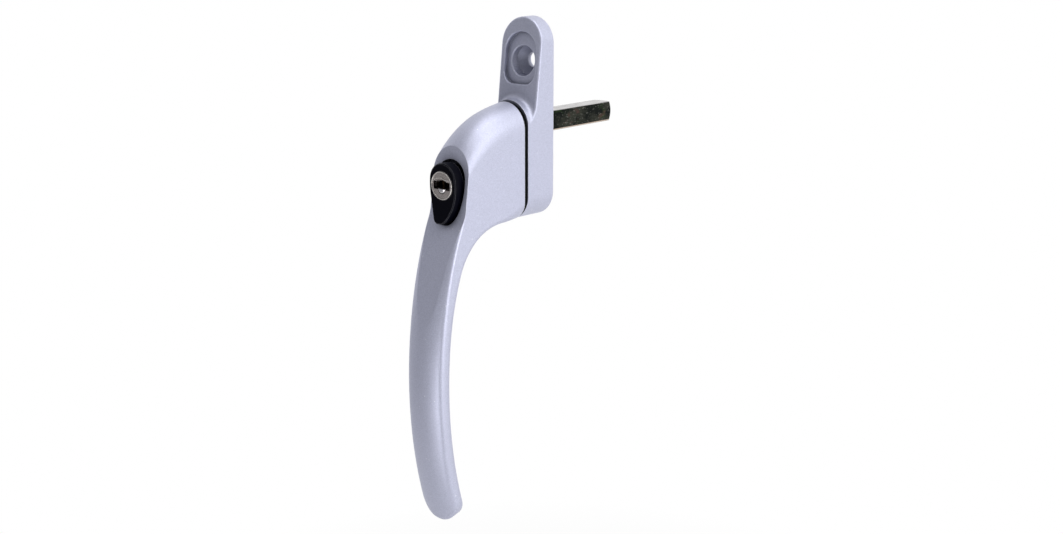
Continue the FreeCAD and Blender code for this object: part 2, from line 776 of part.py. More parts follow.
crowned = lever.newObject("PartDesign::SubtractivePipe", "crown_cut")
crowned.Profile = crown
crowned.Spine = (spine, ["Edge1", "Edge2", "Edge3", "Edge4"])
doc.recompute()


def front_half(height):
    """Where the front half of the grip ends, at a height."""
    return bow_front.number + 4.4 + (height - bow_height.number) ** 2 / 350


def along_grip(edge, middle):
    """Long edges between the sides and the front of the grip."""
    heading = edge.tangentAt((edge.FirstParameter + edge.LastParameter) / 2)
    beside = abs(middle.x) > half_at_tip.number - 0.8
    return beside and middle.z < -24 and middle.y < front_half(middle.z) and abs(heading.x) < 0.2


softened = round_off(lever, "grip_edges", crowned, along_grip, edge_radius)

face = make_sketch(lever, "facet_line", "YZ_Plane")
facet_start = facet_bottom
chain, point = smooth_run(
    face, facet_front, facet_height, [facet_radius, facet_brow_radius, -facet_hollow_radius],
    [facet_bottom, facet_brow_bottom, facet_hollow_bottom], -facet_tilt.number,
)
upright, point = lean_line(face, chain[-1], point, head_top + 4, facet_tilt)
reach = facet_bottom - facet_height
foot_front = facet_front + facet_radius - root(facet_radius * facet_radius - reach * reach)
close_chain(
    face, (upright, 2), point,
    [(bow_front - 10, head_top + 4), (bow_front - 10, facet_bottom)],
    chain[0][:2], [foot_front.number, facet_bottom.number],
)
doc.recompute()
faced = cut(lever, "facet_cut", face, lever_width * 2, both_ways=True)
doc.recompute()

# Neck, socket for the spindle and stepped bore for the lock
neck_outline = make_sketch(lever, "neck_outline", "XZ_Plane", base_front - neck_length)
draw_circle(neck_outline, 0, 0, neck_radius)
grow(lever, "neck", neck_outline, neck_length + 1)
groove(lever, "clip_groove", [
    (clip_front + clip_thickness + 0.02, clip_groove_radius), (clip_front - 0.02, clip_groove_radius),
    (clip_front - 0.02, neck_radius + 1), (clip_front + clip_thickness + 0.02, neck_radius + 1),
])
socket = make_sketch(lever, "socket_outline", "XZ_Plane")
block(socket, socket_half, -socket_half, socket_half)
cut(lever, "spindle_socket", socket, spindle_start + 0.15, backwards=True)
cross_hole = make_sketch(lever, "cross_hole_outline", "YZ_Plane")
draw_circle(cross_hole, -spindle_pin_front, 0, spindle_pin_radius + 0.02)
cut(lever, "cross_hole", cross_hole, neck_radius * 2 + 1, both_ways=True)

button_well = make_sketch(lever, "button_well_outline", "XZ_Plane", tail_pocket_floor)
egg(button_well, button_gap, lock_height)
cut(lever, "button_well", button_well, 40, backwards=True)
lug_tracks = make_sketch(lever, "lug_tracks_outline", "XZ_Plane", keeper_back + keeper_thickness + 0.4)
block(lug_tracks, lug_reach + 0.2, lock_height - lug_half_height - 0.2, lock_height + lug_half_height + 0.2)
cut(lever, "lug_tracks", lug_tracks, lug_front + 0.05 - keeper_back - keeper_thickness - 0.4, backwards=True)
barrel_well = make_sketch(lever, "barrel_well_outline", "XZ_Plane", keeper_back)
draw_circle(barrel_well, 0, lock_height, pocket_radius)
cut(lever, "barrel_well", barrel_well, tail_pocket_floor + 1 - keeper_back, backwards=True)
rear_well = make_sketch(lever, "rear_well_outline", "XZ_Plane", pocket_floor)
draw_circle(rear_well, 0, lock_height, pocket_rear_radius)
cut(lever, "rear_well", rear_well, keeper_back + 1 - pocket_floor, backwards=True)
spring_bore = make_sketch(lever, "spring_bore_outline", "XZ_Plane", spring_seat)
draw_circle(spring_bore, 0, bolt_height, spring_bore_radius)
cut(lever, "spring_bore", spring_bore, keeper_back - spring_seat, backwards=True)
bolt_bore = make_sketch(lever, "bolt_bore_outline", "XZ_Plane")
draw_circle(bolt_bore, 0, bolt_height, bolt_radius + 0.06)
lever_cut = cut(lever, "bolt_bore", bolt_bore, pocket_floor + 1, backwards=True)
doc.recompute()

# Edges between the sides and the back of the lever: widely rounded under the head, tighter down the grip
back_levels = [level.number for level in (base_bottom, crook_bottom, knee_bottom, bend_bottom)]
edge_radii = base_corner_radius, knee_edge_radius, edge_radius + 0.3, edge_radius
back_softness = [radius.number for radius in edge_radii]


def softness(height, ahead):
    """Edge radius at a height of the back. Under the head it depends on the distance from the base."""
    if ahead < 18:
        share = max(ahead, 0) / 18
        return back_softness[0] + (under_edge_radius.number - back_softness[0]) * share
    if height > crook_bottom.number:
        share = (base_bottom.number - height) / (base_bottom.number - crook_bottom.number)
        share = min(max(share, 0), 1)
        return under_edge_radius.number + (back_softness[1] - under_edge_radius.number) * share
    for stretch in (1, 2):
        upper, lower = back_levels[stretch], back_levels[stretch + 1]
        if lower <= height <= upper:
            share = (upper - height) / (upper - lower)
            return back_softness[stretch] + (back_softness[stretch + 1] - back_softness[stretch]) * share
    return edge_radius.number


chosen = []
for number, edge in enumerate(lever.Shape.Edges, 1):
    middle = edge.valueAt((edge.FirstParameter + edge.LastParameter) / 2)
    heading = edge.tangentAt((edge.FirstParameter + edge.LastParameter) / 2)
    beside = abs(middle.x) > half_at_tip.number - 0.8
    behind = middle.y > front_half(middle.z)
    along_side = beside and middle.z < -28 and abs(heading.x) < 0.2
    round_tip = middle.z < tip_bottom.number + 9 and abs(heading.y) < 0.7
    if not behind or not (along_side or round_tip) or abs(middle.y + base_front.number) < 0.2:
        continue
    first = edge.valueAt(edge.FirstParameter)
    last = edge.valueAt(edge.LastParameter)
    if middle.z < -100 and abs(heading.y) > 0.7:
        continue
    chosen.append((
        number,
        softness(first.z, -first.y - base_front.number),
        softness(last.z, -last.y - base_front.number),
    ))
smooth_lever = doc.addObject("Part::Fillet", "soft_lever")
smooth_lever.Label = "lever"
smooth_lever.Base = lever
smooth_lever.Edges = chosen
doc.recompute()

# Parts on the spindle axis inside the plate
back_plate = make_body("back_plate")
sheet_metal = make_sketch(back_plate, "back_plate_outline", "XZ_Plane")
soft_block(sheet_metal, back_plate_half, back_plate_bottom, back_plate_top, chamber_corner)
draw_circle(sheet_metal, 0, 0, back_plate_bore)
draw_circle(sheet_metal, 0, upper_rivet_height, rivet_radius + 0.02)
draw_circle(sheet_metal, 0, lower_rivet_height, rivet_radius + 0.02)
grow(back_plate, "back_plate_sheet", sheet_metal, back_plate_thickness)

rivet_bodies = []
for name, height in (("plate_rivet_upper", upper_rivet_height), ("plate_rivet_lower", lower_rivet_height)):
    rivet = make_body(name)
    place(rivet, height)
    shank = turn(rivet, name + "_shape", [
        (rivet_depth, 0), (0, 0), (0, rivet_radius), (rivet_depth, rivet_radius),
    ])
    rivet_bodies.append(rivet)

bush = make_body("neck_bush")
bush_bore = neck_radius + fit_gap
turn(bush, "bush_ring", [
    (boss_height - 0.2, bush_bore), (chamber_depth + 0.15, bush_bore),
    (chamber_depth + 0.15, bush_radius), (boss_height - 0.2, bush_radius),
])

washer = make_body("thrust_washer")
turn(washer, "washer_ring", [
    (chamber_depth, bush_bore), (chamber_depth - washer_thickness, bush_bore),
    (chamber_depth - washer_thickness, chamber_half - 0.2), (chamber_depth, chamber_half - 0.2),
])

circlip = make_body("neck_circlip")
turn(circlip, "circlip_ring", [
    (clip_front + clip_thickness, clip_groove_radius), (clip_front, clip_groove_radius),
    (clip_front, clip_radius), (clip_front + clip_thickness, clip_radius),
])
clip_mouth = make_sketch(circlip, "circlip_mouth_outline", "XZ_Plane")
block(clip_mouth, 1.4, 2, clip_radius + 1)
cut(circlip, "circlip_mouth", clip_mouth, 20, backwards=True)

index_cam = make_body("index_cam")
cam_outline = make_sketch(index_cam, "index_cam_outline", "XZ_Plane", cam_back)
cam_half = cam_square / 2
cam_flat = root(cam_corner_radius * cam_corner_radius - cam_half * cam_half)
outline(cam_outline, [
    (cam_flat, -cam_half, cam_corner_radius),
    (cam_half, -cam_flat),
    (cam_half, cam_flat, cam_corner_radius),
    (cam_flat, cam_half),
    (-cam_flat, cam_half, cam_corner_radius),
    (-cam_half, cam_flat),
    (-cam_half, -cam_flat, cam_corner_radius),
    (-cam_flat, -cam_half),
])
grow(index_cam, "index_cam_block", cam_outline, cam_thickness)
cam_hole = make_sketch(index_cam, "index_cam_hole_outline", "XZ_Plane")
block(cam_hole, socket_half, -socket_half, socket_half)
cut(index_cam, "index_cam_hole", cam_hole, 20, backwards=True)

index_spring = make_body("index_spring")
leaf_outline = make_sketch(index_spring, "leaf_outline", "XZ_Plane", cam_back + 0.3)
leaf_inner = cam_half + fit_gap
leaf_outer = leaf_inner + leaf_thickness
outline(leaf_outline, [
    (leaf_outer, -leaf_reach),
    (leaf_outer, leaf_rise, leaf_outer),
    (0, leaf_outer + leaf_rise, leaf_outer),
    (-leaf_outer, leaf_rise),
    (-leaf_outer, -leaf_reach),
    (-leaf_inner, -leaf_reach),
    (-leaf_inner, leaf_rise, -leaf_inner),
    (0, leaf_inner + leaf_rise, -leaf_inner),
    (leaf_inner, leaf_rise),
    (leaf_inner, -leaf_reach),
])
grow(index_spring, "leaf_strip", leaf_outline, leaf_width)

slide_plate = make_body("slide_plate")
plate_back = boss_height + slide_plate_gap
slide_outline = make_sketch(slide_plate, "slide_plate_outline", "XZ_Plane", plate_back)
slide_half = lever_width / 2 - slide_plate_inset
slide_centre = head_top - lever_width / 2
slide_low = base_bottom + slide_plate_inset
outline(slide_outline, [
    (slide_half - slide_plate_corner, slide_low, slide_plate_corner),
    (slide_half, slide_low + slide_plate_corner),
    (slide_half, slide_centre, slide_half),
    (0, slide_centre + slide_half, slide_half),
    (-slide_half, slide_centre),
    (-slide_half, slide_low + slide_plate_corner, slide_plate_corner),
    (-slide_half + slide_plate_corner, slide_low),
])
draw_circle(slide_outline, 0, 0, neck_radius + fit_gap)
draw_circle(slide_outline, 0, bolt_height, bolt_pocket_radius)
grow(slide_plate, "slide_plate_sheet", slide_outline, base_front - plate_back)

spindle = make_body("spindle")
bar_outline = make_sketch(spindle, "spindle_outline", "XZ_Plane", -spindle_end)
bar_half = spindle_square / 2
block(bar_outline, bar_half, -bar_half, bar_half)
grow(spindle, "spindle_bar", bar_outline, spindle_end + spindle_start)
corner_reach = bar_half * math.sqrt(2)
chamfer_slope = spindle_chamfer / (corner_reach - spindle_nose)
groove(spindle, "spindle_turned_end", [
    (-spindle_end, spindle_nose),
    (-spindle_end, corner_reach + 1),
    (-spindle_end + chamfer_slope * (corner_reach + 1 - spindle_nose), corner_reach + 1),
])
pin_hole = make_sketch(spindle, "spindle_pin_hole_outline", "YZ_Plane")
draw_circle(pin_hole, -spindle_pin_front, 0, spindle_pin_radius + 0.02)
cut(spindle, "spindle_pin_hole", pin_hole, 20, both_ways=True)

spindle_pin = make_body("spindle_pin")
pin_outline = make_sketch(spindle_pin, "spindle_pin_outline", "YZ_Plane")
draw_circle(pin_outline, -spindle_pin_front, 0, spindle_pin_radius)
pin_bar = grow(spindle_pin, "spindle_pin_bar", pin_outline, neck_radius * 2 - 0.6)
pin_bar.Midplane = True
doc.recompute()

# Push lock: each part is modelled about the lock's own axis and set at its height
lock_button = make_body("lock_button")
place(lock_button, lock_height)
cap = make_sketch(lock_button, "button_outline", "XZ_Plane", button_tail_back)
egg(cap, 0, 0)
grow(lock_button, "button_cap", cap, 12)
face_line = make_sketch(lock_button, "button_face_line", "YZ_Plane")
brim_end = button_foot_bottom - 3 - lock_height
brim_start = button_flat_bottom - lock_height
brim_fall = brim_start - brim_end
brim_out = button_brim_radius - root(button_brim_radius * button_brim_radius - brim_fall * brim_fall)
outline(face_line, [
    (-button_face - brim_out, brim_end, button_brim_radius),
    (-button_face, brim_start),
    (-button_face, 12),
    (-button_face - 20, 12),
    (-button_face - 20, brim_end),
])
faced_button = cut(lock_button, "button_face", face_line, 40, both_ways=True)
doc.recompute()

def at_button_rim(edge, middle):
    return middle.y < -button_face.number + 0.01 and edge.Length > 2 and abs(middle.x) > 0.05


rim = lock_button.newObject("PartDesign::Chamfer", "button_rim")
rim.Base = (faced_button, edges_where(faced_button, at_button_rim))
bind(rim, "Size", button_edge_bevel)
doc.recompute()
barrel = make_sketch(lock_button, "button_barrel_outline", "XZ_Plane", button_back)
draw_circle(barrel, 0, 0, button_barrel_radius)
grow(lock_button, "button_barrel", barrel, button_tail_back - button_back + 0.5)
lugs = make_sketch(lock_button, "button_lugs_outline", "XZ_Plane", lug_back)
block(lugs, lug_reach, -lug_half_height, lug_half_height)
grow(lock_button, "button_lugs", lugs, lug_front - lug_back)
plug_hole = make_sketch(lock_button, "button_plug_hole_outline", "XZ_Plane")
draw_circle(plug_hole, 0, 0, plug_radius + 0.06)
cut(lock_button, "button_plug_hole", plug_hole, through_reach, backwards=True)
sleeve_hole = make_sketch(lock_button, "button_sleeve_hole_outline", "XZ_Plane")
draw_circle(sleeve_hole, 0, 0, housing_radius + 0.03)
cut(lock_button, "button_sleeve_hole", sleeve_hole, housing_front + 0.02, backwards=True)
doc.recompute()

lock_housing = make_body("lock_housing")
place(lock_housing, lock_height)
turn(lock_housing, "housing_sleeve", [
    (housing_front, housing_bore), (plug_body_back, housing_bore),
    (plug_body_back, housing_radius), (housing_front, housing_radius),
])
tracks = make_sketch(lock_housing, "housing_tracks_outline", "XZ_Plane")
block(tracks, 1.5, -housing_bore - 0.55, housing_bore + 0.55)
cut(lock_housing, "housing_tracks", tracks, through_reach, backwards=True)


def keyway_outline(sketch, margin):
    """Wide keyway with a smaller notch above its middle."""
    half = keyway_half + margin
    rise = keyway_half_height + margin
    notch = keyway_notch_half + margin
    outline(sketch, [
        (-half, -rise),
        (half, -rise),
        (half, rise),
        (notch + 0.9, rise),
        (notch, keyway_notch_top + margin),
        (-notch, keyway_notch_top + margin),
        (-notch - 0.9, rise),
        (-half, rise),
    ])


lock_plug = make_body("lock_plug")
place(lock_plug, lock_height)
plug_shape = turn(lock_plug, "plug_shape", [
    (plug_face, 0),
    (plug_tail_back, 0),
    (plug_tail_back, plug_tail_radius),
    (plug_body_back, plug_tail_radius),
    (plug_body_back, plug_body_radius),
    (plug_face - plug_rim, plug_body_radius),
    (plug_face - plug_rim, plug_radius),
    (plug_face, plug_radius),
])


def at_plug_rim(edge, middle):
    return abs(middle.y + plug_face.number) < 0.01 and edge.Length > 20


rim_edge = lock_plug.newObject("PartDesign::Chamfer", "plug_rim_chamfer")
rim_edge.Base = (plug_shape, edges_where(plug_shape, at_plug_rim))
bind(rim_edge, "Size", plug_edge_bevel)
step = make_sketch(lock_plug, "keyway_step_outline", "XZ_Plane", plug_face - keyway_step_depth)
keyway_outline(step, keyway_step_margin)
cut(lock_plug, "keyway_step", step, 5, backwards=True)
slot = make_sketch(lock_plug, "keyway_slot_outline", "XZ_Plane", plug_face - keyway_depth)
keyway_outline(slot, 0)
cut(lock_plug, "keyway_slot", slot, keyway_depth + 5, backwards=True)
post_seat = make_sketch(lock_plug, "post_seat_outline", "XZ_Plane", plug_face - 2.5)
seat_radius = post_radius + 0.12
outline(post_seat, [
    (-seat_radius, -post_drop, seat_radius),
    (0, -post_drop - seat_radius, seat_radius),
    (seat_radius, -post_drop),
    (seat_radius, 0),
    (-seat_radius, 0),
])
cut(lock_plug, "post_seat", post_seat, 5, backwards=True)
for number in range(4):
    front = wafer_front - wafer_pitch * number
    name = "wafer_slot_%d" % (number + 1)
    wafer_slot = make_sketch(lock_plug, name + "_outline", "XZ_Plane", front - wafer_thickness - 0.03)
    block(wafer_slot, wafer_half + 0.05, -plug_radius - 1, plug_radius + 1)
    cut(lock_plug, name, wafer_slot, wafer_thickness + 0.06, backwards=True)
groove(lock_plug, "cam_clip_groove_ring", [
    (plug_cam_front - plug_cam_thickness - 0.02, cam_clip_groove),
    (plug_cam_front - plug_cam_thickness - cam_clip_thickness - 0.08, cam_clip_groove),
    (plug_cam_front - plug_cam_thickness - cam_clip_thickness - 0.08, plug_tail_radius + 1),
    (plug_cam_front - plug_cam_thickness - 0.02, plug_tail_radius + 1),
])
flats = make_sketch(lock_plug, "tail_flats_outline", "XZ_Plane", plug_tail_back - 1)
outline(flats, [(plug_tail_flat, -4), (4, -4), (4, 4), (plug_tail_flat, 4)])
outline(flats, [(-4, -4), (-plug_tail_flat, -4), (-plug_tail_flat, 4), (-4, 4)])
plug_end = cut(lock_plug, "tail_flats", flats, plug_cam_front + 0.05 - plug_tail_back + 1, backwards=True)
doc.recompute()

keyway_post = make_body("keyway_post")
place(keyway_post, lock_height)
post_outline = make_sketch(keyway_post, "post_outline", "XZ_Plane", plug_face - 2.45)
outline(post_outline, [
    (-post_radius, -post_drop, post_radius),
    (0, -post_drop - post_radius, post_radius),
    (post_radius, -post_drop),
])
post = grow(keyway_post, "post_block", post_outline, post_face - plug_face + 2.45)
doc.recompute()


def at_post_rim(edge, middle):
    return middle.y < -post_face.number + 0.01 and middle.z < -post_drop.number - 0.1


round_off(keyway_post, "post_dome_edge", post, at_post_rim, post_dome)

for number in range(4):
    name = "wafer_%d" % (number + 1)
    wafer = make_body(name)
    place(wafer, lock_height)
    back_face = wafer_front - wafer_pitch * number - wafer_thickness
    wafer_outline = make_sketch(wafer, name + "_outline", "XZ_Plane", back_face)
    flat_height = root(plug_body_radius * plug_body_radius - wafer_half * wafer_half)
    outline(wafer_outline, [
        (wafer_half, -flat_height),
        (wafer_half, flat_height, plug_body_radius),
        (0, plug_body_radius, plug_body_radius),
        (-wafer_half, flat_height),
        (-wafer_half, -flat_height, plug_body_radius),
        (0, -plug_body_radius, plug_body_radius),
    ])
    grow(wafer, name + "_plate", wafer_outline, wafer_thickness)
    window = make_sketch(wafer, name + "_window_outline", "XZ_Plane", back_face)
    block(window, wafer_half - 0.7, -keyway_half_height - 0.25 * number, keyway_notch_top)
    cut(wafer, name + "_window", window, 5, backwards=True)
doc.recompute()

plug_cam = make_body("plug_cam")
place(plug_cam, lock_height)
cam_rear = plug_cam_front - plug_cam_thickness
cam_shape = make_sketch(plug_cam, "plug_cam_outline", "XZ_Plane", cam_rear)
neck_drop = root(plug_cam_hub * plug_cam_hub - plug_cam_half * plug_cam_half)
tip_drop = root(plug_cam_reach * plug_cam_reach - plug_cam_half * plug_cam_half)
outline(cam_shape, [
    (-plug_cam_half, -tip_drop, plug_cam_reach),
    (plug_cam_half, -tip_drop),
    (plug_cam_half, -neck_drop, plug_cam_hub),
    (plug_cam_hub, 0, plug_cam_hub),
    (0, plug_cam_hub, plug_cam_hub),
    (-plug_cam_hub, 0, plug_cam_hub),
    (-plug_cam_half, -neck_drop),
])
grow(plug_cam, "plug_cam_plate", cam_shape, plug_cam_thickness)
cam_bore = make_sketch(plug_cam, "plug_cam_bore_outline", "XZ_Plane")
bore_half = plug_tail_flat + 0.03
bore_round = plug_tail_radius + 0.03
bore_rise = root(bore_round * bore_round - bore_half * bore_half)
outline(cam_bore, [
    (bore_half, -bore_rise), (bore_half, bore_rise, bore_round), (0, bore_round, bore_round),
    (-bore_half, bore_rise), (-bore_half, -bore_rise, bore_round), (0, -bore_round, bore_round),
])
cut(plug_cam, "plug_cam_bore", cam_bore, through_reach, backwards=True)

cam_clip = make_body("cam_clip")
place(cam_clip, lock_height)
turn(cam_clip, "cam_clip_ring", [
    (cam_rear - 0.05, cam_clip_groove), (cam_rear - 0.05 - cam_clip_thickness, cam_clip_groove),
    (cam_rear - 0.05 - cam_clip_thickness, cam_clip_radius), (cam_rear - 0.05, cam_clip_radius),
])
clip_gap = make_sketch(cam_clip, "cam_clip_mouth_outline", "XZ_Plane")
block(clip_gap, 1.1, 0.5, cam_clip_radius + 1)
cut(cam_clip, "cam_clip_mouth", clip_gap, through_reach, backwards=True)

keeper = make_body("keeper_plate")
place(keeper, lock_height)
keeper_outline = make_sketch(keeper, "keeper_outline", "XZ_Plane", keeper_back)
draw_circle(keeper_outline, 0, 0, pocket_radius - 0.02)
grow(keeper, "keeper_disc", keeper_outline, keeper_thickness)
keeper_slot = make_sketch(keeper, "keeper_slot_outline", "XZ_Plane")
outline(keeper_slot, [
    (-keeper_slot_half, keeper_slot_bottom + 1.2), (-keeper_slot_half + 1.2, keeper_slot_bottom),
    (keeper_slot_half - 1.2, keeper_slot_bottom), (keeper_slot_half, keeper_slot_bottom + 1.2),
    (keeper_slot_half, keeper_slot_top), (-keeper_slot_half, keeper_slot_top),
])
cut(keeper, "keeper_slot", keeper_slot, through_reach, backwards=True)

lock_bolt = make_body("lock_bolt")
place(lock_bolt, lock_height)
foot_back = bolt_foot_front - bolt_foot_thickness
foot_disc = make_sketch(lock_bolt, "bolt_foot_outline", "XZ_Plane", foot_back)
draw_circle(foot_disc, 0, 0, bolt_foot_radius)
grow(lock_bolt, "bolt_foot", foot_disc, bolt_foot_thickness)
bolt_outline = make_sketch(lock_bolt, "bolt_pin_outline", "XZ_Plane", bolt_end)
draw_circle(bolt_outline, 0, bolt_height - lock_height, bolt_radius)
bolt_pin = grow(lock_bolt, "bolt_pin", bolt_outline, foot_back - bolt_end + 0.5)
doc.recompute()
nose = lock_bolt.newObject("PartDesign::Chamfer", "bolt_nose")
nose.Base = (bolt_pin, edges_where(bolt_pin, lambda edge, middle: abs(middle.y + bolt_end.number) < 0.01))
bind(nose, "Size", 0.5)
doc.recompute()

# Coil spring round the bolt, one unbroken round wire. Each half turn is a half circle on a leaning plane.
# At its ends it runs level, so the next half turn goes on without a corner.
coil_radius = float(sheet.get("spring_radius"))
wire_radius = float(sheet.get("spring_wire")) / 2
half_turns = int(2 * float(sheet.get("spring_turns")))
spring_front = -foot_back.number + wire_radius + 0.02
spring_rear = -float(sheet.get("spring_seat")) - wire_radius - 0.02
half_pitch = (spring_rear - spring_front) / half_turns
half_span = math.hypot(coil_radius, half_pitch / 2)
arcs = []
for number in range(half_turns):
    side = 1 if number % 2 == 0 else -1
    start = Vector(side * coil_radius, spring_front + half_pitch * number, 0)
    end = Vector(-side * coil_radius, spring_front + half_pitch * (number + 1), 0)
    middle = (start + end) * 0.5 + Vector(0, 0, side * half_span)
    arcs.append(Part.Arc(start, middle, end).toShape())
wire_path = Part.Wire(arcs)
wire_circle = Part.Circle(Vector(coil_radius, spring_front, 0), Vector(0, 0, 1), wire_radius)
wire_ring = Part.Wire([wire_circle.toShape()])
button_spring = doc.addObject("Part::Feature", "button_spring")
button_spring.Label = "button_spring"
button_spring.Shape = wire_path.makePipeShell([wire_ring], True, True)
button_spring.Placement = FreeCAD.Placement(Vector(0, 0, bolt_height.number), FreeCAD.Rotation())
turn_gaps = [arcs[number].distToShape(arcs[number + 2])[0] for number in range(half_turns - 2)]
print("least gap of the spring to itself", round(min(turn_gaps) - 2 * wire_radius, 3))

# Every object is checked before the shapes are written
doc.recompute()
nodes = [item for item in doc.Objects if item.isDerivedFrom("PartDesign::Body") and item not in (lever, trim)]
nodes += [smooth_lever, button_spring]
for item in doc.Objects:
    if "Invalid" in item.State or "Error" in item.State:
        raise RuntimeError("%s has not been built: %s" % (item.Label, item.State))
os.makedirs("parts", exist_ok=True)
for node in nodes:
    if node.Shape.isNull() or not node.Shape.isValid() or len(node.Shape.Solids) != 1:
        raise RuntimeError("%s has no sound solid" % node.Label)
    node.Shape.exportStep("parts/%s.step" % node.Label)
    print(node.Label, round(node.Shape.Volume, 1))
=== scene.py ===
# %% [markdown]
# # Espagnolette window handle
# The lever locks a window, with a push button and a key plug in its head, and its square spindle reaches
# into the window's gear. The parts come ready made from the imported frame, in metres. The origin is on the
# spindle's axis, in the plane of the window plate's back. +Y goes into the window, -Y to the room and +Z is
# up. This lesson gives the parts their finishes, adds three small pieces and builds the studio.

import json
import math

import bpy
from mathutils import Matrix, Vector


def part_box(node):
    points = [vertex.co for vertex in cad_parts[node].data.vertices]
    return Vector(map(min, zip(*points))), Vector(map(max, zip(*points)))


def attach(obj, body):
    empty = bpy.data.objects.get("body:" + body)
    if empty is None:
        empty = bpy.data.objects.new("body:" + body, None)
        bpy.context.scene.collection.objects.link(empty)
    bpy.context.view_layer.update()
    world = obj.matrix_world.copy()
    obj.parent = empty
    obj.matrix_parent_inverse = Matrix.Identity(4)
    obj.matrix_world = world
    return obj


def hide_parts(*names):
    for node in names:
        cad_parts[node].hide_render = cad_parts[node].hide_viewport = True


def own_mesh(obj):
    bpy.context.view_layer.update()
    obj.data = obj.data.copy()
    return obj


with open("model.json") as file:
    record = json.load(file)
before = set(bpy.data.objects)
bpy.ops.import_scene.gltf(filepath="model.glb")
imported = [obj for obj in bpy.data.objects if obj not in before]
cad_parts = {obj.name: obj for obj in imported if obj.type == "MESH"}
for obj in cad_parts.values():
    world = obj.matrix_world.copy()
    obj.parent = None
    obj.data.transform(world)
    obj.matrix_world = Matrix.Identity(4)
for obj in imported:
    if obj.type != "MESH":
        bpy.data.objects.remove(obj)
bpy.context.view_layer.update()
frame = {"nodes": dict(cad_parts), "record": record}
nodes = frame["nodes"]
scene = bpy.context.scene

# %% [markdown]
# ## Materials
# Each finish is worked out from the place on the object, so it stays on its part as the part moves. A
# picture wrapped round the castings could carry it too, but it would stretch on the curved grip. A pattern
# gives a value from 0 to 1, a ramp picks the stretch of it that counts, and that share mixes two colours.
# The helpers below write this chain once for all the materials.

# %% A new material, and the place on the object


def new_material(name):
    """An empty material, with its shader and output joined."""
    material = bpy.data.materials.new(name)
    material.use_nodes = True
    tree = material.node_tree
    tree.nodes.clear()
    output = tree.nodes.new("ShaderNodeOutputMaterial")
    shader = tree.nodes.new("ShaderNodeBsdfPrincipled")
    tree.links.new(shader.outputs["BSDF"], output.inputs["Surface"])
    return material, tree, shader


def object_place(tree, **mapping):
    """The place on the object, moved or stretched by a Mapping node where that is asked for."""
    place = tree.nodes.new("ShaderNodeTexCoord").outputs["Object"]
    if not mapping:
        return place
    node = tree.nodes.new("ShaderNodeMapping")
    for setting, value in mapping.items():
        node.inputs[setting].default_value = value
    tree.links.new(place, node.inputs["Vector"])
    return node.outputs["Vector"]


def coordinate(tree, vector, axis):
    """One of a vector's three numbers."""
    parts = tree.nodes.new("ShaderNodeSeparateXYZ")
    tree.links.new(vector, parts.inputs["Vector"])
    return parts.outputs[axis]


print("every pattern is measured in metres on the object")

# %% Patterns and ramps
NOISE_LOW = 0.3
NOISE_HIGH = 0.7


def noise(tree, per_metre, detail=2.0, **mapping):
    """Soft clouds, with finer ones inside them as the detail grows."""
    pattern = tree.nodes.new("ShaderNodeTexNoise")
    pattern.inputs["Scale"].default_value = per_metre
    pattern.inputs["Detail"].default_value = detail
    tree.links.new(object_place(tree, **mapping), pattern.inputs["Vector"])
    return pattern.outputs["Fac"]


def cells(tree, per_metre):
    """Small cells, each with a colour of its own."""
    pattern = tree.nodes.new("ShaderNodeTexVoronoi")
    pattern.inputs["Scale"].default_value = per_metre
    pattern.inputs["Detail"].default_value = 0.0
    tree.links.new(object_place(tree), pattern.inputs["Vector"])
    return pattern


def ramp(tree, source, low, high, dark=0.0, light=1.0):
    """Turns the stretch of a pattern from low to high into values from dark to light."""
    node = tree.nodes.new("ShaderNodeMapRange")
    node.inputs["From Min"].default_value = low
    node.inputs["From Max"].default_value = high
    node.inputs["To Min"].default_value = dark
    node.inputs["To Max"].default_value = light
    tree.links.new(source, node.inputs["Value"])
    return node.outputs["Result"]


print("noise mostly lies between", NOISE_LOW, "and", NOISE_HIGH)

# %% Mixed colours
MIX_FIRST = 6
MIX_SECOND = 7
MIX_RESULT = 2


def mix_colours(tree, share, first, second):
    """The first colour at a share of 0, the second at 1. Each is a colour or what another node gives."""
    node = tree.nodes.new("ShaderNodeMix")
    node.data_type = "RGBA"
    for place, colour in ((MIX_FIRST, first), (MIX_SECOND, second)):
        if isinstance(colour, tuple):
            node.inputs[place].default_value = (*colour, 1)
        else:
            tree.links.new(colour, node.inputs[place])
    tree.links.new(share, node.inputs[0])
    return node.outputs[MIX_RESULT]


def announce(material):
    """Prints how many nodes a material has."""
    print(material.name, "has", len(material.node_tree.nodes), "nodes")


print("a Mix node takes its two colours at sockets", MIX_FIRST, "and", MIX_SECOND)

# %% [markdown]
# No real edge is sharp, and each catches a thin line of light. Such small roundings could be modelled, at
# the price of many faces. A Bevel node bends the light at the edges instead, and where its normal leaves the
# true one there is an edge. There a paler colour is mixed in as a painted highlight. An Ambient Occlusion
# node finds the nooks, by how much of the surroundings a point can see, and there a darker colour is mixed
# in as painted shade.

# %% Soft edges, painted edge highlights and painted shade in nooks
SHADER_SAMPLES = 8


def soft_edges(tree, shader, radius, height, strength, distance):
    """Rounds the look of edges, with a fine relief on top, and gives the radius so that it can vary."""
    bevel = tree.nodes.new("ShaderNodeBevel")
    bevel.samples = SHADER_SAMPLES
    bevel.inputs["Radius"].default_value = radius
    bump = tree.nodes.new("ShaderNodeBump")
    bump.inputs["Strength"].default_value = strength
    bump.inputs["Distance"].default_value = distance
    tree.links.new(height, bump.inputs["Height"])
    tree.links.new(bevel.outputs["Normal"], bump.inputs["Normal"])
    tree.links.new(bump.outputs["Normal"], shader.inputs["Normal"])
    return bevel.inputs["Radius"]


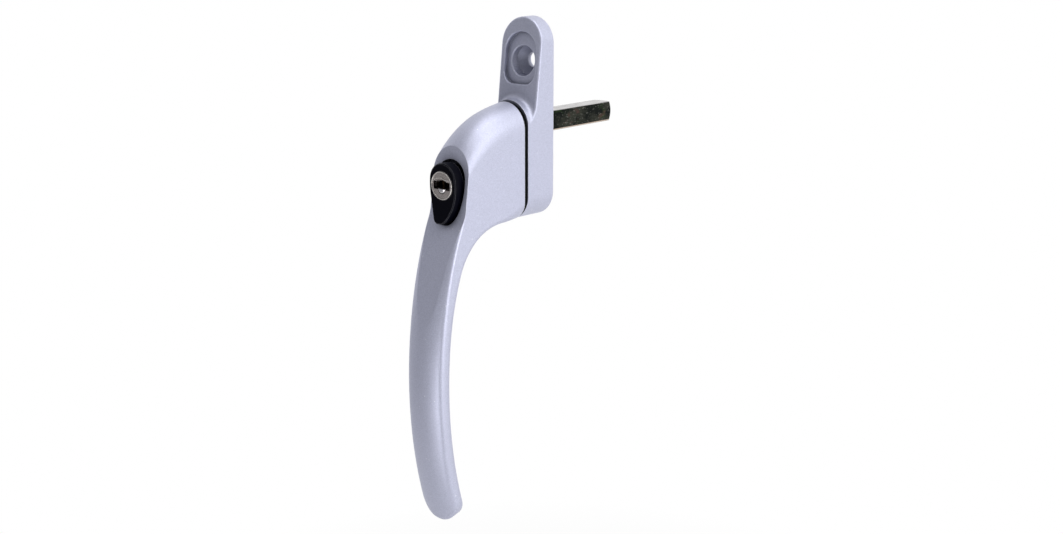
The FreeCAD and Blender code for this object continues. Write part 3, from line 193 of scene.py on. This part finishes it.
def edge_share(tree, radius, bent, straight):
    """1 on sharp edges and 0 on smooth faces, from how far a rounded normal leaves the real one."""
    rounding = tree.nodes.new("ShaderNodeBevel")
    rounding.samples = SHADER_SAMPLES
    rounding.inputs["Radius"].default_value = radius
    surface = tree.nodes.new("ShaderNodeNewGeometry")
    agree = tree.nodes.new("ShaderNodeVectorMath")
    agree.operation = "DOT_PRODUCT"
    tree.links.new(rounding.outputs["Normal"], agree.inputs[0])
    tree.links.new(surface.outputs["Normal"], agree.inputs[1])
    return ramp(tree, agree.outputs["Value"], bent, straight, 1.0, 0.0)


def nook_share(tree, reach, closed, open_air):
    """0 in tight nooks and 1 on open surfaces."""
    nook = tree.nodes.new("ShaderNodeAmbientOcclusion")
    nook.samples = SHADER_SAMPLES
    nook.inputs["Distance"].default_value = reach
    return ramp(tree, nook.outputs["AO"], closed, open_air)


print("edges and nooks are felt for with", SHADER_SAMPLES, "rays at each point")

# %% [markdown]
# The castings share one satin silver paint, a clear powder with fine metal flakes in it. One flat grey would
# look like plastic. Small cells, each a little lighter or darker and each leaning its own way, give the fine
# grain that the eye reads as flakes, and a few cells stand out as bright specks. In tight nooks such as the
# screw seat the colour is darkened as painted shade, and along the edges it is made paler as a painted
# highlight.

# %% Silver paint of the castings
PAINT_SHADE = (0.485, 0.5, 0.625)
PAINT_GLINT = (0.61, 0.625, 0.765)
PAINT_SPECK = (0.76, 0.77, 0.86)
PAINT_EDGE_HIGHLIGHT = (0.86, 0.87, 0.97)
PAINT_NOOK_SHADE = (0.1, 0.105, 0.14)
FLAKES_PER_METRE = 4200
SPECKS_PER_METRE = 2600
CRISP_EDGE = 0.0003
NOOK_SHADE_REACH = 0.007
paint, tree, shader = new_material("silver_paint")
flakes = cells(tree, FLAKES_PER_METRE)
colour = mix_colours(tree, ramp(tree, flakes.outputs["Color"], 0.0, 1.0), PAINT_SHADE, PAINT_GLINT)
specks = cells(tree, SPECKS_PER_METRE)
colour = mix_colours(tree, ramp(tree, specks.outputs["Color"], 0.96, 0.97), colour, PAINT_SPECK)
# A paler colour on the edges: a painted highlight.
colour = mix_colours(tree, edge_share(tree, CRISP_EDGE, 0.9, 0.99), colour, PAINT_EDGE_HIGHLIGHT)
# A darker colour in the nooks: painted shade.
colour = mix_colours(tree, nook_share(tree, NOOK_SHADE_REACH, 0.3, 0.85), PAINT_NOOK_SHADE, colour)
tree.links.new(colour, shader.inputs["Base Color"])
shader.inputs["Metallic"].default_value = 0.5
shader.inputs["Roughness"].default_value = 0.45
shader.inputs["Specular IOR Level"].default_value = 0.3
edge_radius = soft_edges(tree, shader, CRISP_EDGE, flakes.outputs["Distance"], 0.14, 0.00002)
announce(paint)

# %% [markdown]
# The lever's edges are crisp round the lock and grow soft down the grip, where the hand holds it. A second
# material for the grip would show a seam. A Bevel node rounds only the look of an edge, so its radius can
# follow the height instead, and the change is too gentle to see.

# %% Softer edges down the grip
GRIP_EDGE = 0.0028
GRIP_TOP = -0.065
LOCK_FOOT = -0.035
height = coordinate(tree, object_place(tree), "Z")
tree.links.new(ramp(tree, height, GRIP_TOP, LOCK_FOOT, GRIP_EDGE, CRISP_EDGE), edge_radius)
print("edges look", CRISP_EDGE * 1000, "mm round at the lock and", GRIP_EDGE * 1000, "mm round on the grip")

# %% [markdown]
# The push button is deep black plastic with a soft gloss, and its edges are painted grey as a painted
# highlight along the rim. An edge could be painted by hand, but the share of the Bevel node finds every edge
# at once and keeps its width even, so the drop-shaped face stands out from its dark sides.

# %% Black plastic of the button
BUTTON_EDGE = 0.00022
BUTTON_BLACK = (0.0012, 0.0013, 0.0045)
BUTTON_EDGE_HIGHLIGHT = (0.16, 0.16, 0.18)
gloss_black, tree, shader = new_material("button_black")
grain = noise(tree, 2500)
button_highlight_share = edge_share(tree, BUTTON_EDGE, 0.93, 0.985)
# The grey on the button's edges is a painted highlight.
tree.links.new(mix_colours(tree, button_highlight_share, BUTTON_BLACK, BUTTON_EDGE_HIGHLIGHT), shader.inputs["Base Color"])
tree.links.new(ramp(tree, grain, NOISE_LOW, NOISE_HIGH, 0.3, 0.42), shader.inputs["Roughness"])
shader.inputs["Specular IOR Level"].default_value = 0.06
soft_edges(tree, shader, BUTTON_EDGE, grain, 0.05, 0.00002)
announce(gloss_black)

# %% [markdown]
# The plate in the gap between lever and window plate is black too, but matte, so the gap reads as a thin
# dark line. The bearing inside the neck is a plain white plastic. Both have an even colour, so only their
# roughness changes from grain to grain, as it does on moulded plastic.

# %% Matte plastics


def matte_plastic(name, colour, grains_per_metre, smooth, rough, gloss=0.5):
    """A plastic of one colour, whose roughness changes from grain to grain."""
    material, tree, shader = new_material(name)
    grain = noise(tree, grains_per_metre)
    tree.links.new(ramp(tree, grain, NOISE_LOW, NOISE_HIGH, smooth, rough), shader.inputs["Roughness"])
    shader.inputs["Base Color"].default_value = (*colour, 1)
    shader.inputs["Specular IOR Level"].default_value = gloss
    announce(material)
    return material


matte_black = matte_plastic("gap_black", (0.002, 0.002, 0.002), 1500, 0.6, 0.75, gloss=0.05)
bush_white = matte_plastic("bush_white", (0.7, 0.68, 0.62), 1200, 0.45, 0.6)

# %% [markdown]
# The small metal parts differ in colour and polish alone: the bright post in the keyway, the brass wafers,
# the zinc-plated steel of pins, rings and plates, the springs, and the plug's worn rim. One function makes
# them all. The same noise drives colour, roughness and a faint relief, because on real metal a dull spot is
# dull in all three.

# %% Metals of the small parts
METAL_EDGE = 0.0001


def metal(name, dark, light, rough_low, rough_high, grains_per_metre):
    """A bare metal, whose colour, roughness and relief follow the same grain."""
    material, tree, shader = new_material(name)
    grain = noise(tree, grains_per_metre, 4.0)
    share = ramp(tree, grain, NOISE_LOW, NOISE_HIGH)
    tree.links.new(mix_colours(tree, share, dark, light), shader.inputs["Base Color"])
    gloss = ramp(tree, grain, NOISE_LOW, NOISE_HIGH, rough_low, rough_high)
    tree.links.new(gloss, shader.inputs["Roughness"])
    shader.inputs["Metallic"].default_value = 1.0
    soft_edges(tree, shader, METAL_EDGE, grain, 0.06, 0.00003)
    announce(material)
    return material


post_steel = metal("post_steel", (0.72, 0.7, 0.72), (0.85, 0.83, 0.84), 0.12, 0.2, 1500)
# The wafers' brass is darkened far below bare brass: painted shade of the deep keyway.
brass = metal("wafer_brass_shaded", (0.1, 0.06, 0.03), (0.17, 0.11, 0.06), 0.35, 0.5, 1500)
steel = metal("zinc_steel", (0.45, 0.45, 0.46), (0.6, 0.6, 0.61), 0.3, 0.42, 1500)
spring_steel = metal("spring_steel", (0.2, 0.2, 0.21), (0.32, 0.32, 0.33), 0.28, 0.4, 1500)
worn_nickel = metal("worn_rim_nickel", (0.7, 0.66, 0.63), (0.85, 0.81, 0.77), 0.14, 0.26, 2600)

# %% [markdown]
# The plug is turned brass with nickel plate, and the tool has left fine rings round its middle, about a
# third of a millimetre apart. A Wave texture in rings about the plug's axis draws them, so they stay on it
# as it turns. In the keyway's nook the colour is darkened to nearly black, as painted shade.

# %% Turned nickel of the plug
PLUG_AXIS = -0.0158
RING_SCALE = 900
KEYWAY_SHADE_REACH = 0.0025
NICKEL_GROOVE = (0.42, 0.38, 0.37)
NICKEL_RIDGE = (0.78, 0.71, 0.68)
KEYWAY_SHADE = (0.012, 0.011, 0.01)
nickel, tree, shader = new_material("plug_nickel")
rings = tree.nodes.new("ShaderNodeTexWave")
rings.wave_type = "RINGS"
rings.rings_direction = "Y"
rings.inputs["Scale"].default_value = RING_SCALE
rings.inputs["Distortion"].default_value = 2.5
rings.inputs["Detail"].default_value = 2
tree.links.new(object_place(tree, Location=(0, 0, -PLUG_AXIS)), rings.inputs["Vector"])
colour = mix_colours(tree, rings.outputs["Fac"], NICKEL_GROOVE, NICKEL_RIDGE)
# The keyway is darkened here: painted shade.
colour = mix_colours(tree, nook_share(tree, KEYWAY_SHADE_REACH, 0.45, 0.85), KEYWAY_SHADE, colour)
tree.links.new(colour, shader.inputs["Base Color"])
tree.links.new(ramp(tree, rings.outputs["Fac"], 0.0, 1.0, 0.34, 0.24), shader.inputs["Roughness"])
shader.inputs["Metallic"].default_value = 1.0
soft_edges(tree, shader, METAL_EDGE, rings.outputs["Fac"], 0.15, 0.00002)
announce(nickel)

# %% [markdown]
# The spindle is drawn steel with an olive plating. On its sides the plating is nearly black, with greenish
# and rusty spots and pale scratches. Each of these is a noise drawn out along the bar, laid over the ones
# before it, so they cross each other as years of handling leave them.

# %% Grime on the spindle's sides
GRIME_DARK = (0.004, 0.006, 0.005)
GRIME_PALE = (0.03, 0.032, 0.024)
GREEN_SPOT = (0.02, 0.04, 0.012)
RUST_SPOT = (0.085, 0.045, 0.04)
SCRATCH = (0.22, 0.22, 0.2)
spindle_steel, tree, shader = new_material("spindle_steel")


def along_bar(tree, across, along, per_metre, detail):
    """A noise stretched along the bar, the more the smaller its number along it."""
    return noise(tree, per_metre, detail, Scale=(across, along, across))


clouds = along_bar(tree, 1, 0.45, 420, 3)
colour = mix_colours(tree, ramp(tree, clouds, 0.42, 0.62), GRIME_DARK, GRIME_PALE)
green = along_bar(tree, 1, 0.6, 260, 2)
colour = mix_colours(tree, ramp(tree, green, 0.58, 0.68, 0.0, 0.8), colour, GREEN_SPOT)
rust = along_bar(tree, 1, 0.5, 310, 2)
colour = mix_colours(tree, ramp(tree, rust, 0.6, 0.7, 0.0, 0.7), colour, RUST_SPOT)
scratches = along_bar(tree, 1.3, 0.4, 2300, 5)
colour = mix_colours(tree, ramp(tree, scratches, 0.6, 0.74, 0.0, 0.9), colour, SCRATCH)
announce(spindle_steel)

# %% [markdown]
# The upper and lower faces are painted bright, with fine streaks along the bar, as a painted reflection. The
# lowest strip of each side is painted a warm grey, as a painted reflection of the floor. The height on the
# bar tells these places apart. A look that changes with the angle of view would be easier to set, but it
# would slide over the bar as the handle turns.

# %% Painted reflection on the upper and lower faces and along the lower edge
REFLECTED_FACE_FROM = 0.0033
REFLECTED_FACE_WHOLE = 0.0035
FLOOR_GLINT_FROM = -0.003
FLOOR_GLINT_WHOLE = -0.0032
PAINTED_FLOOR_GLINT = (0.66, 0.54, 0.44)
REFLECTION_STREAK_DARK = (0.32, 0.31, 0.32)
REFLECTION_STREAK_LIGHT = (0.52, 0.5, 0.5)
SPINDLE_EDGE = 0.0006
height = coordinate(tree, object_place(tree), "Z")
# The warm grey strip low on each side is a painted reflection of the floor.
colour = mix_colours(tree, ramp(tree, height, FLOOR_GLINT_FROM, FLOOR_GLINT_WHOLE), colour, PAINTED_FLOOR_GLINT)
off_middle = tree.nodes.new("ShaderNodeMath")
off_middle.operation = "ABSOLUTE"
tree.links.new(height, off_middle.inputs[0])
# The bright upper and lower faces are a painted reflection.
reflected_face_share = ramp(tree, off_middle.outputs["Value"], REFLECTED_FACE_FROM, REFLECTED_FACE_WHOLE)
streaks = along_bar(tree, 1.3, 0.08, 1500, 3)
painted_reflection = mix_colours(tree, ramp(tree, streaks, 0.35, 0.65), REFLECTION_STREAK_DARK, REFLECTION_STREAK_LIGHT)
tree.links.new(mix_colours(tree, reflected_face_share, colour, painted_reflection), shader.inputs["Base Color"])
tree.links.new(ramp(tree, clouds, 0.35, 0.65, 0.12, 0.3), shader.inputs["Roughness"])
shader.inputs["Metallic"].default_value = 1.0
soft_edges(tree, shader, SPINDLE_EDGE, scratches, 0.08, 0.00003)
announce(spindle_steel)

# %% [markdown]
# The record names a slot for each part, such as casting or brass. One table turns slots into materials, so
# that no part is left grey and parts of one metal look alike.

# %% Give every part its material
by_slot = {
    "casting": paint,
    "button_plastic": gloss_black,
    "gap_plastic": matte_black,
    "nickel": nickel,
    "post_steel": post_steel,
    "brass": brass,
    "spindle_steel": spindle_steel,
    "steel": steel,
    "spring_steel": spring_steel,
    "bush_plastic": bush_white,
}
for part in frame["record"]["subparts"]:
    mesh = nodes[part["node"]].data
    mesh.materials.clear()
    mesh.materials.append(by_slot[part["material_slot"]])

# %% [markdown]
# ## Pieces made by hand
# Three small pieces are made as one would by hand: a simple shape is added, some of its faces or points are
# selected, and edit mode's tools change them. Code can't click, so it selects by place or by normal. At
# the end each piece has its place in its mesh, takes a body to ride on, and gets its material.

# %% Helpers for pieces made by hand
SMOOTH_BELOW = math.radians(50)
BEVEL_STEPS = 3


def select_in_mesh(piece, kind, wanted):
    """Leaves only the wanted faces or points of a piece selected, in edit mode."""
    bpy.ops.object.mode_set(mode="EDIT")
    bpy.ops.mesh.select_mode(type=kind)
    bpy.ops.mesh.select_all(action="DESELECT")
    bpy.ops.object.mode_set(mode="OBJECT")
    for element in piece.data.polygons if kind == "FACE" else piece.data.vertices:
        element.select = wanted(element)
    bpy.ops.object.mode_set(mode="EDIT")


def finish_piece(piece, modifiers, body, material):
    """Applies the piece's place and modifiers, and gives it a body and a material."""
    bpy.ops.object.mode_set(mode="OBJECT")
    bpy.ops.object.transform_apply(location=True, rotation=True, scale=True)
    for kind, settings in modifiers:
        modifier = piece.modifiers.new(kind.lower(), kind)
        for setting, value in settings.items():
            setattr(modifier, setting, value)
        bpy.ops.object.modifier_apply(modifier=modifier.name)
    bpy.ops.object.shade_smooth_by_angle(angle=SMOOTH_BELOW)
    piece.data.materials.append(material)
    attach(piece, body)
    print(piece.name, len(piece.data.polygons), "faces, rides on", body)


print("corners flatter than", round(math.degrees(SMOOTH_BELOW)), "degrees are shaded smooth")

# %% [markdown]
# ## Plug's rim
# The plug ends in a thin raised rim, worn bright by keys, which catches the light at its upper right. It
# could be a curve with a round section, but a turned rim is flat in front with small bevels. So a thin
# disc has both faces inset, the inner faces are bridged into a hole, and a Bevel modifier breaks the edges.

# %% Make the rim
PLUG_FACE = -0.0455
RIM_RADIUS = 0.0047
RIM_DEPTH = 0.0007
RIM_SET_BACK = 0.00015
RIM_WIDTH = 0.0004
RIM_BEVEL = 0.00012
RIM_SIDES = 96
bpy.ops.object.select_all(action="DESELECT")
bpy.ops.mesh.primitive_cylinder_add(
    vertices=RIM_SIDES, radius=RIM_RADIUS, depth=RIM_DEPTH,
    location=(0, PLUG_FACE + RIM_SET_BACK, PLUG_AXIS), rotation=(math.pi / 2, 0, 0))
plug_rim = bpy.context.object
plug_rim.name = "plug_rim"
bpy.ops.object.transform_apply(location=True, rotation=True, scale=True)
select_in_mesh(plug_rim, "FACE", lambda face: abs(face.normal.y) > 0.9)
bpy.ops.mesh.inset(thickness=RIM_WIDTH)
bpy.ops.mesh.bridge_edge_loops()
finish_piece(
    plug_rim, [("BEVEL", {"width": RIM_BEVEL, "segments": BEVEL_STEPS, "limit_method": "ANGLE"})],
    "plug", worn_nickel)

# %% [markdown]
# ## Keyway's lip
# Above the keyway a small raised lip follows its stepped outline and shines along its top. It starts as a
# tiny plane, whose right edge is extruded from corner to corner, as one would draw it by hand. Solidify
# then gives it its thickness, half in the plug's face, and Bevel rounds it.

# %% Make the lip
LIP_CORNERS = [(-0.0041, 0.0013), (-0.0024, 0.0023), (-0.0002, 0.0026), (0.0013, 0.002), (0.0037, 0.002)]
LIP_HEIGHT = 0.0004
LIP_THICKNESS = 0.0004
LIP_BEVEL = 0.0001
first = LIP_CORNERS[0]
bpy.ops.object.select_all(action="DESELECT")
bpy.ops.mesh.primitive_plane_add(
    size=LIP_HEIGHT, location=(first[0], PLUG_FACE, PLUG_AXIS + first[1]), rotation=(math.pi / 2, 0, 0))
keyway_lip = bpy.context.object
keyway_lip.name = "keyway_lip"
bpy.ops.object.transform_apply(location=True, rotation=True, scale=True)
select_in_mesh(keyway_lip, "VERT", lambda vertex: vertex.co.x > first[0])
for here, there in zip(LIP_CORNERS, LIP_CORNERS[1:]):
    bpy.ops.mesh.extrude_region_move(
        TRANSFORM_OT_translate={"value": (there[0] - here[0], 0, there[1] - here[1])})
finish_piece(
    keyway_lip, [
        ("SOLIDIFY", {"thickness": LIP_THICKNESS, "offset": 0.0}),
        ("BEVEL", {"width": LIP_BEVEL, "segments": BEVEL_STEPS, "limit_method": "ANGLE"})],
    "plug", worn_nickel)

# %% [markdown]
# ## Button's spring
# The wire coil behind the lock button shortens as the button is pushed in. The frame's coil can only move as
# a whole, and would come out through its seat, so this one replaces it. A small ring, the wire's section, is
# wound by a Screw modifier, and the coil is then set to ride on the button.

# %% Wind the coil
WIRE_RADIUS = 0.00025
WIRE_SIDES = 12
COIL_TURNS = 4
STEPS_PER_TURN = 36
low, high = (Vector(corner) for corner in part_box("button_spring"))
coil_front = low.y + WIRE_RADIUS
coil_rear = high.y - WIRE_RADIUS
bpy.ops.object.select_all(action="DESELECT")
bpy.ops.mesh.primitive_circle_add(
    vertices=WIRE_SIDES, radius=WIRE_RADIUS, fill_type="NOTHING",
    location=(0, coil_front, (low.z + high.z) / 2))
button_coil = bpy.context.object
button_coil.name = "button_coil"
bpy.ops.object.mode_set(mode="EDIT")
bpy.ops.mesh.select_all(action="SELECT")
bpy.ops.transform.translate(value=(high.x - WIRE_RADIUS, 0, 0))
bpy.ops.object.mode_set(mode="OBJECT")
winding = button_coil.modifiers.new("winding", "SCREW")
winding.axis = "Y"
winding.angle = 2 * math.pi
winding.screw_offset = (coil_rear - coil_front) / COIL_TURNS
winding.iterations = COIL_TURNS
winding.steps = STEPS_PER_TURN
winding.render_steps = STEPS_PER_TURN
bpy.ops.object.modifier_apply(modifier="winding")
print("wound", COIL_TURNS, "turns of wire,", WIRE_RADIUS * 2000, "mm thick")

# %% [markdown]
# The wound wire is still an open tube. Filling both ends closes it, and its faces are then turned outwards.
# A real coil's turns move closer together and its wire keeps its thickness. This coil rides on the button as
# a whole and gets a mesh of its own, and the frame's coil is hidden.

# %% Close the wire's ends, and let the coil ride on the button
bpy.ops.object.mode_set(mode="EDIT")
bpy.ops.mesh.select_all(action="SELECT")
bpy.ops.mesh.fill_holes(sides=WIRE_SIDES)
bpy.ops.mesh.normals_make_consistent(inside=False)
finish_piece(button_coil, [], "button", spring_steel)
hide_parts("button_spring")
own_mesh(button_coil)

# %% [markdown]
# ## Studio
# A product picture has a white backdrop, which the camera sees and which every gloss in front of it
# mirrors, while the room behind the camera is dim. That is why the sides of the handle look pale and its
# front, its plug and its button look dark. Strong lamps on a white wall could do this too, but they would
# flood the handle. So the white is shown to camera, mirror and glass rays alone, and adds no light.

# %% Which rays see the white backdrop


def combine(tree, operation, first, second):
    """Joins two values by a Math node."""
    node = tree.nodes.new("ShaderNodeMath")
    node.operation = operation
    tree.links.new(first, node.inputs[0])
    tree.links.new(second, node.inputs[1])
    return node.outputs["Value"]


def backdrop_share(tree, into_window, dim, white):
    """1 on camera rays, and on mirror and glass rays that meet the backdrop, down to 0 in the room."""
    path = tree.nodes.new("ShaderNodeLightPath").outputs
    mirrored = combine(tree, "MAXIMUM", path["Is Glossy Ray"], path["Is Transmission Ray"])
    behind = combine(tree, "MULTIPLY", mirrored, ramp(tree, into_window, dim, white))
    return combine(tree, "MAXIMUM", path["Is Camera Ray"], behind)


def blend_shaders(tree, share, first, second, output):
    """Joins two shaders to the output, the first at a share of 0 and the second at 1."""
    blend = tree.nodes.new("ShaderNodeMixShader")
    tree.links.new(share, blend.inputs["Fac"])
    tree.links.new(first, blend.inputs[1])
    tree.links.new(second, blend.inputs[2])
    tree.links.new(blend.outputs["Shader"], output.inputs["Surface"])


print("the backdrop shows to camera, glossy and transmission rays")

# %% [markdown]
# The floor is a plain pale sheet far below the handle. A floor that was only white light would swallow the
# shadow, so it turns to pure white away from the object and keeps some of its own shading near it.

# %% Floor
FLOOR_SIZE = 4
FLOOR_HEIGHT = -0.3
FLOOR_PALE = (0.8, 0.8, 0.8)
SHADED_WITHIN = 0.05
WHITE_BEYOND = 0.3
WHITE_NEAR = 0.8
FLOOR_DIM_UP_TO = -0.3
FLOOR_WHITE_FROM = 0.1
bpy.ops.mesh.primitive_plane_add(size=FLOOR_SIZE, location=(0, 0, FLOOR_HEIGHT))
floor = bpy.context.object
floor.name = "floor"
floor_paint, tree, shader = new_material("pale_floor")
shader.inputs["Base Color"].default_value = (*FLOOR_PALE, 1)
shader.inputs["Roughness"].default_value = 0.9
glow = tree.nodes.new("ShaderNodeEmission")
glow.inputs["Strength"].default_value = 1.0
place = object_place(tree)
distance = tree.nodes.new("ShaderNodeVectorMath")
distance.operation = "LENGTH"
tree.links.new(place, distance.inputs[0])
white_share = ramp(tree, distance.outputs["Value"], SHADED_WITHIN, WHITE_BEYOND, WHITE_NEAR, 1.0)
seen_white = backdrop_share(tree, coordinate(tree, place, "Y"), FLOOR_DIM_UP_TO, FLOOR_WHITE_FROM)
share = combine(tree, "MULTIPLY", seen_white, white_share)
output = next(node for node in tree.nodes if node.type == "OUTPUT_MATERIAL")
blend_shaders(tree, share, shader.outputs["BSDF"], glow.outputs["Emission"], output)
floor.data.materials.append(floor_paint)
print("floor", -FLOOR_HEIGHT, "m below the spindle")

# %% [markdown]
# The world fills the room with a little even light, faintly blue as from a window. The same choice of rays
# turns it white for the camera, and for gloss that looks past the handle and not back into the room.

# %% Surroundings
ROOM_LIGHT = (0.95, 0.96, 1.0)
ROOM_STRENGTH = 0.28
ROOM_DIM_UP_TO = -0.4
ROOM_WHITE_FROM = 0.1


def background(tree, colour, strength):
    """An even light from all round."""
    node = tree.nodes.new("ShaderNodeBackground")
    node.inputs["Color"].default_value = (*colour, 1)
    node.inputs["Strength"].default_value = strength
    return node.outputs["Background"]


world = bpy.data.worlds.new("white_room")
scene.world = world
world.use_nodes = True
tree = world.node_tree
tree.nodes.clear()
output = tree.nodes.new("ShaderNodeOutputWorld")
direction = tree.nodes.new("ShaderNodeTexCoord").outputs["Generated"]
share = backdrop_share(tree, coordinate(tree, direction, "Y"), ROOM_DIM_UP_TO, ROOM_WHITE_FROM)
room = background(tree, ROOM_LIGHT, ROOM_STRENGTH)
backdrop = background(tree, (1, 1, 1), 1.0)
blend_shaders(tree, share, room, backdrop, output)
print("room light", ROOM_STRENGTH)

# %% [markdown]
# Five soft lamps give the handle its form. Two on the right and one above make the side and the crown
# pale. A small one low in front lifts the grip, and a weak one on the left keeps its far side from going
# black. Large lamps have soft shadows, so none of them draws a hard line on the castings.

# %% Lights


def soft_light(name, place, aim, width, height, power):
    """A rectangular soft light that looks at a point."""
    data = bpy.data.lights.new(name, "AREA")
    data.shape = "RECTANGLE"
    data.size = width
    data.size_y = height
    data.energy = power
    lamp = bpy.data.objects.new(name, data)
    scene.collection.objects.link(lamp)
    lamp.location = place
    heading = Vector(aim) - Vector(place)
    lamp.rotation_mode = "QUATERNION"
    lamp.rotation_quaternion = heading.to_track_quat("-Z", "Y")
    print(name, power, "W from", round(heading.length, 2), "m")


MIDDLE = (0, -0.03, -0.04)
GRIP = (0, -0.04, -0.09)
soft_light("right_low", (0.8, 0.1, -0.12), MIDDLE, 0.25, 0.25, 1.6)
soft_light("right_up", (0.62, 0.12, 0.42), MIDDLE, 0.6, 0.6, 2.1)
soft_light("top", (0.12, 0.05, 0.7), MIDDLE, 0.5, 0.5, 1.8)
soft_light("front_low", (0.08, -0.4, -0.26), GRIP, 0.3, 0.2, 0.62)
soft_light("left", (-0.8, -0.2, 0.1), MIDDLE, 0.5, 0.6, 0.4)

# %% [markdown]
# ## Camera
# The camera was found from the plate's outline, the screw seat and the lever in the photograph. It looks
# from the front right and a little from above. Its turn is written as three directions, right, up and back,
# rather than as angles about the axes, so that its aim can be shifted along them without any tilt.

# %% Camera
PHOTO_WIDTH = 1063
FOCAL_PIXELS = 1141.94
SENSOR_WIDTH = 36
AZIMUTH = math.radians(41.151)
ELEVATION = math.radians(15.779)
CAMERA_DISTANCE = 0.39979
AIM_LEFT = 0.00072
AIM_DOWN = 0.0509
back = Vector((
    math.sin(AZIMUTH) * math.cos(ELEVATION),
    -math.cos(AZIMUTH) * math.cos(ELEVATION),
    math.sin(ELEVATION),
))
right = Vector((math.cos(AZIMUTH), math.sin(AZIMUTH), 0))
up = back.cross(right)
camera_data = bpy.data.cameras.new("camera")
camera_data.sensor_width = SENSOR_WIDTH
camera_data.lens = FOCAL_PIXELS * SENSOR_WIDTH / PHOTO_WIDTH
camera_data.clip_start = 0.01
camera_data.clip_end = 20
camera = bpy.data.objects.new("camera", camera_data)
scene.collection.objects.link(camera)
turn = Matrix((right, up, back)).transposed().to_4x4()
camera.matrix_world = Matrix.Translation(back * CAMERA_DISTANCE - right * AIM_LEFT - up * AIM_DOWN) @ turn
scene.camera = camera
scene.view_settings.view_transform = "Standard"
print("camera", CAMERA_DISTANCE, "m away, lens", round(camera_data.lens, 2), "mm")
